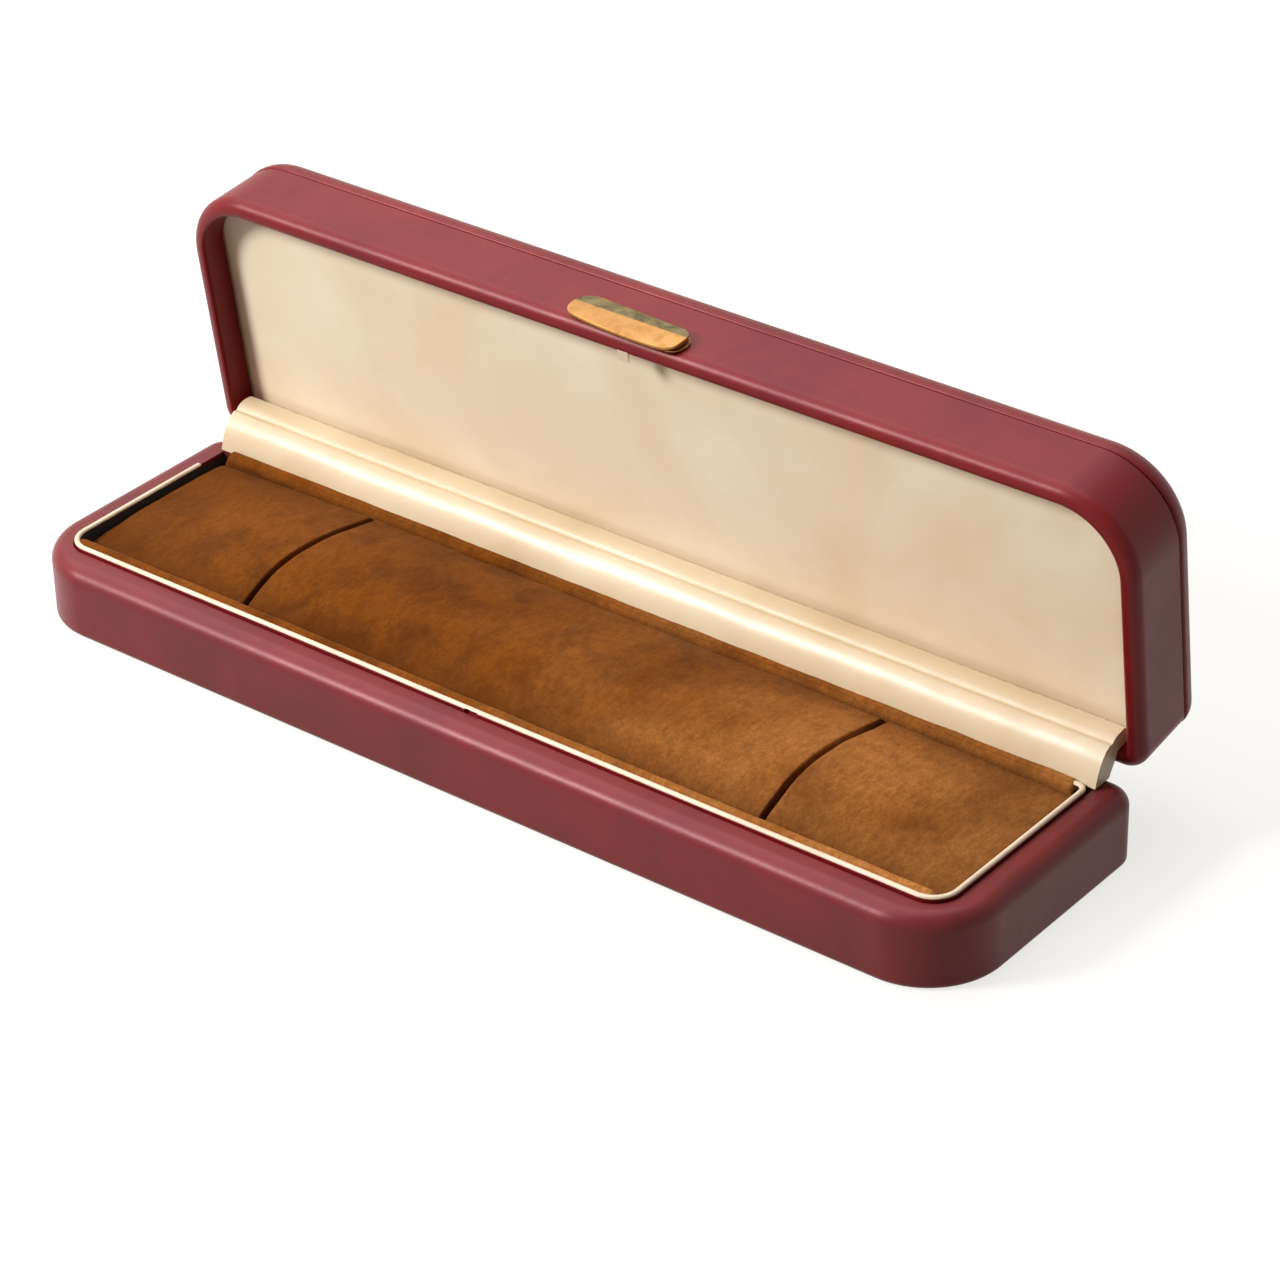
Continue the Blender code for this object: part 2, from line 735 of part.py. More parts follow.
def button_outline(end_margin, side_margin):
    """A long lozenge: a bowed edge by the rim, a straight edge above and round ends, set a little askew."""
    half = button_length / 2 + end_margin
    high = button_height / 2 + side_margin
    lift = button_height * button_bow_share
    radius = button_height * button_end_share
    right = arc((half - radius, high - radius), radius, 90, 0, small_arc_steps)
    right += arc((half - radius, radius + lift - high), radius, 0, -75, small_arc_steps)
    reach = right[-1][0]
    bow = []
    for i in range(1, bow_steps):
        share = 1 - 2 * i / bow_steps
        bow.append((reach * share, lift * share ** 2 - high))
    points = right + bow + [(-x, z) for x, z in reversed(right)]
    c, s = math.cos(button_tilt), math.sin(button_tilt)
    return [(x * c - z * s + button_side_shift, x * s + z * c) for x, z in points]


def lid_wall_prism(bm, outline, near, far, bevel=0.0):
    """An outline of (x, height) points on the front wall, between two depths in from its face."""
    centre_z = rim_height + button_centre_height - axis_z
    face_y = lid_front - axis_y
    steps = [(near, bevel), (near + bevel, 0.0), (far, 0.0)] if bevel else [(near, 0.0), (far, 0.0)]
    loops = []
    for depth, shrink in steps:
        loop = []
        for x, z in outline:
            reach = math.hypot(x, z)
            scale = 1 - shrink / reach
            loop.append((x * scale, face_y + depth, centre_z + z * scale))
        loops.append(loop)
    skin_loops(bm, loops, False)


def build_button(lid):
    plate_out = -(fine_gap + plate_thickness)
    back = plate_out - fine_gap - button_travel
    travel_axis = pivot("button_axis", (0.0, 0.0, 0.0), lid)
    bm = bmesh.new()
    lid_wall_prism(bm, button_outline(0.0, 0.0), back - button_thickness, back, button_bevel)
    button = finish_mesh(bm, "button", gilt_brass(), travel_axis)
    reach = lever_setback - lid_front_setback - lever_thickness / 2 - stem_lever_gap
    length = reach - back + button_thickness / 2
    centre = (0.0, lid_front - axis_y + reach - length / 2, rim_height + stem_height - axis_z)
    stem = as_cutter(rod("button_stem", stem_radius, length, pin_steps, gilt_brass(), "y", centre, travel_axis))
    combine(button, stem, 'UNION')
    bm = bmesh.new()
    lid_wall_prism(bm, button_outline(plate_end_margin, plate_side_margin), plate_out, -fine_gap)
    plate = finish_mesh(bm, "button_escutcheon", gilt_brass(), lid)
    cut(plate, stem_hole("stem_hole_plate", lid))


def build_catch(lid):
    """A rocker on a wire axle. The button pushes its top in, and its tooth swings out of the keeper."""
    face_y = -half_depth + lever_setback
    pivot_place = (0.0, face_y - axis_y, rim_height + lever_pivot_height - axis_z)
    rocker = pivot("catch_axis", pivot_place, lid)
    half = lever_thickness / 2
    tooth_low = tooth_base_gap - lever_pivot_height
    tooth_tip = collar_outer + tooth_bite - lever_setback
    tooth_high = tooth_low + tooth_thickness
    clear = axle_radius + fine_gap
    boss = clear + half
    knee = skin - lever_pivot_height
    section = [(lever_joggle - half, knee), (lever_joggle - half, tooth_low), (lever_joggle + half, tooth_low),
               (tooth_tip, tooth_high - tooth_tip_thickness), (tooth_tip, tooth_high),
               (lever_joggle + half, tooth_high), (lever_joggle + half, knee)]
    section += arc((0.0, 0.0), boss, -50, 50, shoulder_steps)
    section += [(half, boss), (half, lever_top - lever_pivot_height)]
    section += [(-half, lever_top - lever_pivot_height), (-half, boss)]
    section += arc((0.0, 0.0), boss, 130, 230, shoulder_steps)
    lever = long_prism("catch_lever", section, lever_width, spring_steel(), rocker)
    hole = as_cutter(rod("axle_hole", clear, 2 * lever_width, pin_steps, grey_board(), "x", (0, 0, 0), rocker))
    cut(lever, hole)
    rod("catch_axle", axle_radius, axle_length, pin_steps, spring_steel(), "x", pivot_place, lid)
    cover_in = lid_front + lid_rim_width - axis_y
    height_low = rim_height + lever_pivot_height + boss - axis_z
    height_high = rim_height + recess_depth - satin_crown - seat_gap - axis_z
    half_width = axle_length / 2
    cover = [(cover_in - catch_cover_thickness, height_low), (cover_in, height_low), (cover_in, height_high),
             (cover_in - catch_cover_thickness, height_high)]
    long_prism("catch_cover", cover, 2 * half_width, spring_steel(), lid)
    spring_y = cover_in - catch_cover_thickness - seat_gap - spring_thickness
    spring = [(spring_y, height_low), (spring_y + spring_thickness, height_low),
              (spring_y + spring_thickness, height_high - seat_gap), (spring_y, height_high - seat_gap)]
    long_prism("catch_spring", spring, lever_width, spring_steel(), lid)


def build_case():
    clear_scene()
    build_base_shell()
    build_base_leather()
    build_foot_panel()
    build_collar()
    build_pad_board()
    build_pads()
    build_welts()
    hinge = pivot("hinge_axis", (0.0, axis_y, axis_z))
    build_leaf("hinge_leaf_base", -1, 0, hinge)
    rod("hinge_pin", pin_radius, leaf_length, pin_steps, spring_steel(), "x", (0, 0, 0), hinge)
    build_hinge_spine()
    build_hinge_cover()
    lid = pivot("lid_axis", (0.0, axis_y, axis_z))
    lid.rotation_euler = (-open_angle, 0.0, 0.0)
    build_lid_shell(lid)
    build_lid_side_leather(lid)
    build_lid_top_leather(lid)
    build_lid_panel(lid)
    build_leaf("hinge_leaf_lid", 1, 1, lid)
    build_button(lid)
    build_catch(lid)


build_case()
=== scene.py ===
# Bracelet case: leather, satin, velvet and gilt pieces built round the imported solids
import json
import math

import bmesh
import bpy
import numpy as np
from mathutils import Matrix, Vector, noise


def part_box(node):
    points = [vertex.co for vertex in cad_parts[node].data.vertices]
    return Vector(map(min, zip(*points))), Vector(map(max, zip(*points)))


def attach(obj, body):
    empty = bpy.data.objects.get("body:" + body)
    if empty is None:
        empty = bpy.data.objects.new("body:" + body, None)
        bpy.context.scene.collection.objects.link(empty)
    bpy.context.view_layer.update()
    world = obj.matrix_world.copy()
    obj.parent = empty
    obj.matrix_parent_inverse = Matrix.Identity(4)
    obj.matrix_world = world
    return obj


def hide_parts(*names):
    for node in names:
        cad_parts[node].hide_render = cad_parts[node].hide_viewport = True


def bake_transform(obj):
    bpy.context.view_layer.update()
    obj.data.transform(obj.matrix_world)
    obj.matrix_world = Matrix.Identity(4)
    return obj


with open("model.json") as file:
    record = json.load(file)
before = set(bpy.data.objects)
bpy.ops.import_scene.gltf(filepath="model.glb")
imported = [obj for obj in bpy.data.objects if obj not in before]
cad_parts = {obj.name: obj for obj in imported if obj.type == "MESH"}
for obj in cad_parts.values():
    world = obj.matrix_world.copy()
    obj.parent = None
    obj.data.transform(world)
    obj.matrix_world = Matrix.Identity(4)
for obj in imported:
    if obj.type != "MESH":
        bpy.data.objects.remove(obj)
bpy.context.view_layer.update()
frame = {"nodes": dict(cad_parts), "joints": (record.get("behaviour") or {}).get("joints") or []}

lidJoint = next(joint for joint in frame["joints"] if joint["name"] == "lid_hinge")
hingeAt = Vector(lidJoint["pos_m"])
openTurn = math.radians(lidJoint["range_deg"][1])
openLid = Matrix.Translation(hingeAt) @ Matrix.Rotation(-openTurn, 4, 'X') @ Matrix.Translation(-hingeAt)


def shutBox(name):  # corners of one of the lid's solids with the lid shut
    shut = openLid.inverted()
    points = [shut @ vertex.co for vertex in frame["nodes"][name].data.vertices]
    low = Vector([min(point[i] for point in points) for i in range(3)])
    high = Vector([max(point[i] for point in points) for i in range(3)])
    return low, high


baseLow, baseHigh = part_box("base_leather")
sideLow, sideHigh = shutBox("lid_side_leather")
topLow, topHigh = shutBox("lid_top_leather")
lipLow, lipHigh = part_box("base_collar")
rimHeight = sideLow.z


# Materials

def addNode(tree, kind, **values):
    node = tree.nodes.new(kind)
    for name, value in values.items():
        if name in node.inputs:
            node.inputs[name].default_value = value
        else:
            setattr(node, name, value)
    return node


def spotNoise(tree, coords, scale, detail=4.0, roughness=0.55, distortion=0.0):
    texture = addNode(tree, "ShaderNodeTexNoise", Scale=scale, Detail=detail, Roughness=roughness,
                      Distortion=distortion)
    tree.links.new(coords, texture.inputs["Vector"])
    return texture.outputs["Fac"]


def spread(tree, value, low, high, first, last):  # a value's range stretched to another
    node = addNode(tree, "ShaderNodeMapRange")
    for name, number in (("From Min", low), ("From Max", high), ("To Min", first), ("To Max", last)):
        node.inputs[name].default_value = number
    tree.links.new(value, node.inputs["Value"])
    return node.outputs["Result"]


def mixColours(tree, share, first, second):
    node = addNode(tree, "ShaderNodeMix", data_type='RGBA')
    sockets = [s for s in node.inputs if s.type == 'RGBA']
    for socket, colour in zip(sockets, (first, second)):
        if isinstance(colour, bpy.types.NodeSocket):
            tree.links.new(colour, socket)
        else:
            socket.default_value = (*colour, 1.0)
    tree.links.new(share, node.inputs["Factor"])
    return next(s for s in node.outputs if s.type == 'RGBA')


def combine(tree, operation, first, second):  # two values through one Math node
    node = addNode(tree, "ShaderNodeMath", operation=operation)
    for socket, value in zip(node.inputs, (first, second)):
        if isinstance(value, bpy.types.NodeSocket):
            tree.links.new(value, socket)
        else:
            socket.default_value = value
    return node.outputs[0]


def stretched(tree, coords, scale):  # coordinates stretched along an axis
    node = addNode(tree, "ShaderNodeMapping", Scale=scale)
    tree.links.new(coords, node.inputs["Vector"])
    return node.outputs["Vector"]


def addBumps(tree, shader, heights):  # heights are (value, strength, distance)
    last = None
    for value, strength, distance in heights:
        bump = addNode(tree, "ShaderNodeBump", Strength=strength, Distance=distance)
        tree.links.new(value, bump.inputs["Height"])
        if last:
            tree.links.new(last.outputs["Normal"], bump.inputs["Normal"])
        last = bump
    tree.links.new(last.outputs["Normal"], shader.inputs["Normal"])


def startMaterial(name, **values):
    material = bpy.data.materials.new(name)
    material.use_nodes = True
    tree = material.node_tree
    shader = tree.nodes["Principled BSDF"]
    for socket, value in values.items():
        shader.inputs[socket.replace("_", " ")].default_value = value
    coords = addNode(tree, "ShaderNodeTexCoord").outputs["Object"]
    return material, tree, shader, coords


leather = {
    "colour": (0.205, 0.006, 0.006), "dark": (0.140, 0.005, 0.008), "worn": (0.29, 0.034, 0.030),
    "gloss": 0.37, "grainScale": 2400, "cloudScale": 38, "speckScale": 420, "wear": 0.35,
    "specular": 0.36, "specularTint": (1.0, 0.62, 0.62, 1.0),
}


def makeLeather(name, shade=1.0, paintedSheenGrey=0.0):  # painted reflection: the grey lift on green and blue paints a pinkish sheen into the dye
    s = leather
    material, tree, shader, coords = startMaterial(name, Specular_IOR_Level=s["specular"],
                                                   Specular_Tint=s["specularTint"])
    cloud = spotNoise(tree, coords, s["cloudScale"], 5.0, 0.6, 0.4)
    speck = spotNoise(tree, coords, s["speckScale"], 3.0, 0.6)
    dyes = [[c * shade + grey for c, grey in zip(s[key], (0.0, paintedSheenGrey, paintedSheenGrey))] for key in ("dark", "colour")]
    body = mixColours(tree, spread(tree, cloud, 0.35, 0.68, 0.0, 1.0), *dyes)
    worn = spread(tree, speck, 0.66, 0.78, 0.0, s["wear"])
    tree.links.new(mixColours(tree, worn, body, s["worn"]), shader.inputs["Base Color"])
    tree.links.new(spread(tree, cloud, 0.3, 0.7, s["gloss"] + 0.06, s["gloss"] - 0.03), shader.inputs["Roughness"])
    grain = addNode(tree, "ShaderNodeTexVoronoi", Scale=s["grainScale"], feature='SMOOTH_F1')
    tree.links.new(coords, grain.inputs["Vector"])
    addBumps(tree, shader, [(cloud, 0.25, 0.0006), (grain.outputs["Distance"], 0.10, 0.0001)])
    return material


velvet = {
    "deep": (0.070, 0.016, 0.0008), "body": (0.200, 0.056, 0.004), "pale": (0.56, 0.225, 0.060),
    # the pale share and its span across x are painted light: the pile is painted paler towards the right
    "shade": (0.012, 0.004, 0.001), "napScale": 95, "pileScale": 1500, "brushed": 0.9,
    # the two height spans below give painted shade: the pile is painted darker at the sunken edges and black in the
    # slits
    "paintedLightFromX": (-0.03, 0.11), "streaks": 0.38, "fibres": 0.3, "paintedShadeBelow": (0.0138, 0.0178),
    "paintedSlitShadowBelow": (0.0115, 0.0135), "sheen": 0.15, "sheenTint": (0.95, 0.5, 0.2, 1.0),
    "napStretch": (1.0, 0.8, 1.0), "strokeStretch": (1.0, 0.5, 1.0),
}


def makeVelvet(name, shade=1.0):
    s = velvet
    material, tree, shader, coords = startMaterial(
        name, Roughness=0.95, Specular_IOR_Level=0.1, Sheen_Weight=s["sheen"], Sheen_Roughness=0.4,
        Sheen_Tint=s["sheenTint"])
    nap = spotNoise(tree, stretched(tree, coords, s["napStretch"]), s["napScale"], 6.0, 0.62, 0.35)
    patch = spotNoise(tree, coords, s["napScale"] * 0.3, 3.0, 0.5, 0.2)
    stroke = spotNoise(tree, stretched(tree, coords, s["strokeStretch"]), s["pileScale"] * 0.5, 4.0, 0.65)
    fibre = spotNoise(tree, coords, s["pileScale"], 3.0, 0.7)
    deep, body, pale = ([c * shade for c in s[key]] for key in ("deep", "body", "pale"))
    along = addNode(tree, "ShaderNodeSeparateXYZ")
    tree.links.new(coords, along.inputs["Vector"])
    full = mixColours(tree, spread(tree, nap, 0.33, 0.55, 0.25, 1.0), deep, body)
    brushed = combine(tree, 'MULTIPLY', spread(tree, along.outputs["X"], *s["paintedLightFromX"], 0.10, 1.0),
                      spread(tree, patch, 0.38, 0.66, 0.0, s["brushed"]))
    full = mixColours(tree, brushed, full, pale)  # painted light: the pile is painted paler towards the right, in patches
    full = mixColours(tree, spread(tree, stroke, 0.36, 0.66, 0.0, s["streaks"]), full, deep)
    full = mixColours(tree, spread(tree, fibre, 0.35, 0.65, 0.0, s["fibres"]), full, deep)
    height = along.outputs["Z"]  # painted shade: the pile is painted darker towards the sunken edges and painted black in the slits
    full = mixColours(tree, spread(tree, height, *s["paintedShadeBelow"], 0.8, 0.0), full, deep)
    full = mixColours(tree, spread(tree, height, *s["paintedSlitShadowBelow"], 1.0, 0.0), full, s["shade"])
    tree.links.new(full, shader.inputs["Base Color"])
    addBumps(tree, shader, [(nap, 0.45, 0.0010), (stroke, 0.35, 0.0005), (fibre, 0.5, 0.0002)])
    return material


satin = {
    "panelBody": (0.86, 0.69, 0.47), "panelPale": (0.93, 0.80, 0.60), "rollBody": (0.66, 0.49, 0.30),
    "rollPale": (0.75, 0.60, 0.40), "stain": (0.72, 0.55, 0.36), "cloudScale": 30, "stainScale": 75,
    "weaveScale": 412.7, "sheenTint": (1.0, 0.93, 0.8, 1.0),
}


def makeSatin(name, body, pale, roughness, sheen):
    s = satin
    material, tree, shader, coords = startMaterial(
        name, Roughness=roughness, Specular_IOR_Level=0.55, Sheen_Weight=sheen, Sheen_Roughness=0.35,
        Sheen_Tint=s["sheenTint"])
    cloud = spotNoise(tree, coords, s["cloudScale"], 4.0, 0.5, 0.5)
    stain = spotNoise(tree, coords, s["stainScale"], 5.0, 0.6, 0.3)
    cloth = mixColours(tree, spread(tree, cloud, 0.36, 0.66, 0.0, 1.0), s[body], s[pale])
    tree.links.new(mixColours(tree, spread(tree, stain, 0.55, 0.8, 0.0, 0.14), cloth, s["stain"]),
                   shader.inputs["Base Color"])
    thread = addNode(tree, "ShaderNodeTexWave", Scale=s["weaveScale"], Distortion=0.6, bands_direction='X')
    tree.links.new(coords, thread.inputs["Vector"])
    addBumps(tree, shader, [(stain, 0.12, 0.0004), (thread.outputs["Fac"], 0.05, 0.00008)])
    return material


def makeCard(name, colour, roughness, dirt):
    material, tree, shader, coords = startMaterial(name, Roughness=roughness, Specular_IOR_Level=0.4)
    smudge = spotNoise(tree, coords, 90, 5.0, 0.65, 0.4)
    tree.links.new(mixColours(tree, spread(tree, smudge, 0.48, 0.8, 0.0, 0.6), colour, dirt),
                   shader.inputs["Base Color"])
    addBumps(tree, shader, [(spotNoise(tree, coords, 900, 3.0), 0.25, 0.0001)])
    return material


def makeGilt(name, colour, tarnish, roughness, dull):
    material, tree, shader, coords = startMaterial(name, Metallic=1.0)
    spots = spotNoise(tree, coords, 330, 5.0, 0.65, 0.5)
    tree.links.new(mixColours(tree, spread(tree, spots, 0.45, 0.72, 0.0, dull), colour, tarnish),
                   shader.inputs["Base Color"])
    tree.links.new(spread(tree, spots, 0.35, 0.75, roughness, roughness + 0.22), shader.inputs["Roughness"])
    scratches = spotNoise(tree, stretched(tree, coords, (0.25, 2.2, 2.2)), 2300, 3.0)
    addBumps(tree, shader, [(scratches, 0.12, 0.00006)])
    return material


def makeWood(name, shade=1.0):
    material, tree, shader, coords = startMaterial(name, Roughness=0.7)
    rings = spotNoise(tree, stretched(tree, coords, (0.08, 1.0, 1.0)), 420, 6.0, 0.6, 0.8)
    grains = [[c * shade for c in colour] for colour in ((0.42, 0.28, 0.15), (0.60, 0.44, 0.27))]
    tree.links.new(mixColours(tree, spread(tree, rings, 0.35, 0.65, 0.0, 1.0), *grains),
                   shader.inputs["Base Color"])
    addBumps(tree, shader, [(rings, 0.3, 0.0002)])
    return material


def makeSteel(name):
    material, tree, shader, coords = startMaterial(name, Metallic=1.0)
    lines = spotNoise(tree, stretched(tree, coords, (0.1, 1.0, 1.0)), 2500, 4.0)
    brushed = mixColours(tree, spread(tree, lines, 0.35, 0.65, 0.0, 1.0), (0.36, 0.35, 0.34), (0.52, 0.51, 0.5))
    tree.links.new(brushed, shader.inputs["Base Color"])
    tree.links.new(spread(tree, lines, 0.3, 0.7, 0.28, 0.45), shader.inputs["Roughness"])
    addBumps(tree, shader, [(lines, 0.15, 0.00005)])
    return material


redLeather = makeLeather("redLeather")
# painted reflection: the base's leather is a greyer-pink copy of the lid's
baseLeather = makeLeather("baseLeather", 0.95, 0.013)
spineLeather = makeLeather("spineLeather", 0.9)
brownVelvet = makeVelvet("brownVelvet")
# painted highlight: the welts' velvet is a lighter copy of the pads' velvet
litWeltVelvet = makeVelvet("litWeltVelvet", 1.15)
panelSatin = makeSatin("panelSatin", "panelBody", "panelPale", 0.62, 0.25)
rollSatin = makeSatin("rollSatin", "rollBody", "rollPale", 0.36, 0.3)
creamLip = makeCard("creamLip", (0.80, 0.64, 0.47), 0.42, (0.55, 0.38, 0.25))
# painted shade: a near-black card for faces that lie in shadow
paintedShadeLining = makeCard("paintedShadeLining", (0.012, 0.005, 0.003), 0.9, (0.007, 0.003, 0.002))
creamLacquer = makeCard("creamLacquer", (0.80, 0.64, 0.44), 0.5, (0.70, 0.54, 0.36))
greyBoard = makeCard("greyBoard", (0.40, 0.36, 0.30), 0.9, (0.25, 0.21, 0.17))
padBoard = makeCard("padBoard", (0.020, 0.010, 0.006), 0.95, (0.010, 0.005, 0.003))
footPaper = makeCard("footPaper", (0.13, 0.025, 0.028), 0.7, (0.06, 0.012, 0.014))
gold = makeGilt("gold", (0.44, 0.225, 0.07), (0.28, 0.12, 0.035), 0.27, 0.7)
# the back facet's gilt: tarnish, with painted reflection of the dark it faces
dullGold = makeGilt("dullGold", (0.21, 0.16, 0.075), (0.07, 0.055, 0.028), 0.5, 1.0)
bareWood = makeWood("bareWood")
# painted shade: near-black wood where the tray's inside lies in shadow
paintedShadeWood = makeWood("paintedShadeWood", 0.05)
hingeSteel = makeSteel("hingeSteel")
print("materials ready")


# Shared shaping

def addOutline(bm, halfX, nearY, farY, frontRadius, rearRadius, segments, height):
    before = set(bm.edges)
    plate = bmesh.ops.create_grid(bm, x_segments=1, y_segments=1, size=1.0)["verts"]
    bmesh.ops.scale(bm, vec=(halfX, (farY - nearY) / 2, 1.0), verts=plate)
    bmesh.ops.translate(bm, vec=(0, (farY + nearY) / 2, height), verts=plate)
    middle = (farY + nearY) / 2
    groups = ([v for v in plate if v.co.y < middle], [v for v in plate if v.co.y > middle])
    for corners, radius in zip(groups, (frontRadius, rearRadius)):
        bmesh.ops.bevel(bm, geom=corners, offset=radius, offset_type='OFFSET', affect='VERTICES',
                        segments=segments, profile=0.5, material=-1)
    made = [edge for edge in bm.edges if edge not in before]
    bmesh.ops.delete(bm, geom=list({face for edge in made for face in edge.link_faces}), context='FACES_ONLY')
    return made


def stackOutlines(bm, shapes, heights, around):  # joined a metre apart, then brought to their heights
    outlines = [addOutline(bm, *shape, height=float(i)) for i, shape in enumerate(shapes)]
    pairs = list(zip(outlines, outlines[1:]))
    if around:
        pairs.append((outlines[-1], outlines[0]))
    for first, second in pairs:
        bmesh.ops.bridge_loops(bm, edges=first + second)
    for outline, height in zip(outlines, heights):
        for vertex in {vertex for edge in outline for vertex in edge.verts}:
            vertex.co.z = height
    bmesh.ops.recalc_face_normals(bm, faces=bm.faces)
    return outlines


def roundOff(bm, edges, radius, segments):
    bmesh.ops.bevel(bm, geom=edges, offset=radius, offset_type='OFFSET', affect='EDGES', segments=segments,
                    profile=0.5, material=-1, loop_slide=True)


def weightNormals(piece):
    normals = piece.modifiers.new("weightedNormals", 'WEIGHTED_NORMAL')
    normals.keep_sharp = True


def makePiece(bm, name, materials, sharpAngle, weighted=True):
    bmesh.ops.remove_doubles(bm, verts=bm.verts, dist=2e-6)
    bmesh.ops.recalc_face_normals(bm, faces=bm.faces)
    mesh = bpy.data.meshes.new(name)
    bm.to_mesh(mesh)
    bm.free()
    mesh.shade_smooth()
    mesh.set_sharp_from_angle(angle=math.radians(sharpAngle))
    for material in materials:
        mesh.materials.append(material)
    piece = bpy.data.objects.new(name, mesh)
    bpy.context.scene.collection.objects.link(piece)
    if weighted:
        weightNormals(piece)
    return piece


def settle(piece):  # modifiers made real
    graph = bpy.context.evaluated_depsgraph_get()
    mesh = bpy.data.meshes.new_from_object(piece.evaluated_get(graph))
    old = piece.data
    piece.modifiers.clear()
    piece.data = mesh
    bpy.data.meshes.remove(old)
    mesh.name = piece.name


def cutAway(piece, boxes):  # boxes are (low, high) corners
    bm = bmesh.new()
    for low, high in boxes:
        block = bmesh.ops.create_cube(bm, size=1.0)["verts"]
        bmesh.ops.scale(bm, vec=[b - a for a, b in zip(low, high)], verts=block)
        bmesh.ops.translate(bm, vec=[(a + b) / 2 for a, b in zip(low, high)], verts=block)
    mesh = bpy.data.meshes.new("cutter")
    bm.to_mesh(mesh)
    bm.free()
    cutter = bpy.data.objects.new("cutter", mesh)
    bpy.context.scene.collection.objects.link(cutter)
    boolean = piece.modifiers.new("cut", 'BOOLEAN')
    boolean.operation = 'DIFFERENCE'
    boolean.object = cutter
    boolean.solver = 'EXACT'
    settle(piece)
    piece.data.set_sharp_from_angle(angle=math.radians(50))  # the cut's own edges
    bpy.data.objects.remove(cutter, do_unlink=True)
    bpy.data.meshes.remove(mesh)


def assign(piece, body, slot, *replaced):  # the body it rides on, its slot (not used) and the nodes it stands for
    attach(piece, body)
    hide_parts(*replaced)


def waves(x, y, z, scales):  # smooth noise with its own scale along each axis
    return noise.noise(Vector((x * scales[0], y * scales[1], z * scales[2])))


def sweepStart(bm, section, toPoint):  # a closed ring of edges from a flat outline
    corners = [bm.verts.new(toPoint(point)) for point in section]
    return [bm.edges.new((corners[i], corners[(i + 1) % len(corners)])) for i in range(len(corners))]


def sweepStraight(bm, ring, reach, steps):
    for step in range(steps):
        made = bmesh.ops.extrude_edge_only(bm, edges=ring)["geom"]
        moved = {item for item in made if isinstance(item, bmesh.types.BMVert)}
        bmesh.ops.translate(bm, vec=Vector(reach) / steps, verts=list(moved))
        ring = [item for item in made if isinstance(item, bmesh.types.BMEdge) and set(item.verts) <= moved]
    return ring


def sweepTurn(bm, ring, centre, degrees, steps):
    geometry = list({vertex for edge in ring for vertex in edge.verts}) + ring
    made = bmesh.ops.spin(bm, geom=geometry, cent=centre, axis=(0, 0, 1), dvec=(0, 0, 0),
                          angle=math.radians(degrees), steps=steps, use_duplicate=False)["geom_last"]
    return [item for item in made if isinstance(item, bmesh.types.BMEdge)]


# Base covering: leather over the walls, the shoulder, the ledge and in under the foot
baseCovering = {
    "thickness": 0.0010, "frontCorner": 0.017, "rearCorner": 0.005, "ledge": 0.0065, "trayCorner": 0.0063,
    "shoulder": 0.0035, "foot": 0.0014, "turnIn": 0.0070, "cornerSteps": 18,
    "notchDepth": 0.0012, "notchBelow": 0.0088, "notchSide": 0.003,
}
smallestCorner = 0.0003


def makeBaseCovering():
    s = baseCovering
    halfX, halfY, top, skin = baseHigh.x, -baseLow.y, baseHigh.z, s["thickness"]
    rows = [(s["turnIn"], 0.0), (0.0, 0.0), (0.0, top), (s["ledge"], top), (s["ledge"], top - skin),
            (skin, top - skin), (skin, skin), (s["turnIn"], skin)]
    shapes = []
    for inset, height in rows:
        front = s["trayCorner"] if inset == s["ledge"] else s["frontCorner"] - inset
        rear = max(s["rearCorner"] - inset, smallestCorner)
        shapes.append((halfX - inset, inset - halfY, halfY - inset, front, rear, s["cornerSteps"]))
    bm = bmesh.new()
    outlines = stackOutlines(bm, shapes, [height for inset, height in rows], True)
    roundOff(bm, outlines[2], s["shoulder"], 10)
    roundOff(bm, outlines[1], s["foot"], 5)
    roundOff(bm, outlines[5], s["shoulder"] - skin, 6)
    piece = makePiece(bm, "baseCovering", [baseLeather], 50, False)
    leaf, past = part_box("hinge_leaf_base"), 0.002  # the cut runs past the surface
    low = (leaf[0].x - s["notchSide"], halfY - s["notchDepth"], hingeAt.z - s["notchBelow"])
    high = (leaf[1].x + s["notchSide"], halfY + past, top + past)
    cutAway(piece, [(low, high)])
    weightNormals(piece)
    assign(piece, "base", "red_leather", "base_leather")


# Lip: cream card that turns every corner but the left rear one
lip = {
    "thickness": 0.0012, "frontCorner": 0.0060, "rearCorner": 0.0024, "open": 0.0080, "rearOpen": 0.0125,
    "bead": 0.0005, "creamBelow": 0.0003, "wave": 0.00012, "waveScales": (26, 26, 1), "waveBelow": 0.003,
    "longSteps": 60, "shortSteps": 14, "turnSteps": 10, "rearTurnSteps": 6,
    "slot": ((-0.0016, -0.0255, 0.0159), (0.0016, -0.02415, 0.01703)),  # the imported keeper's size
}


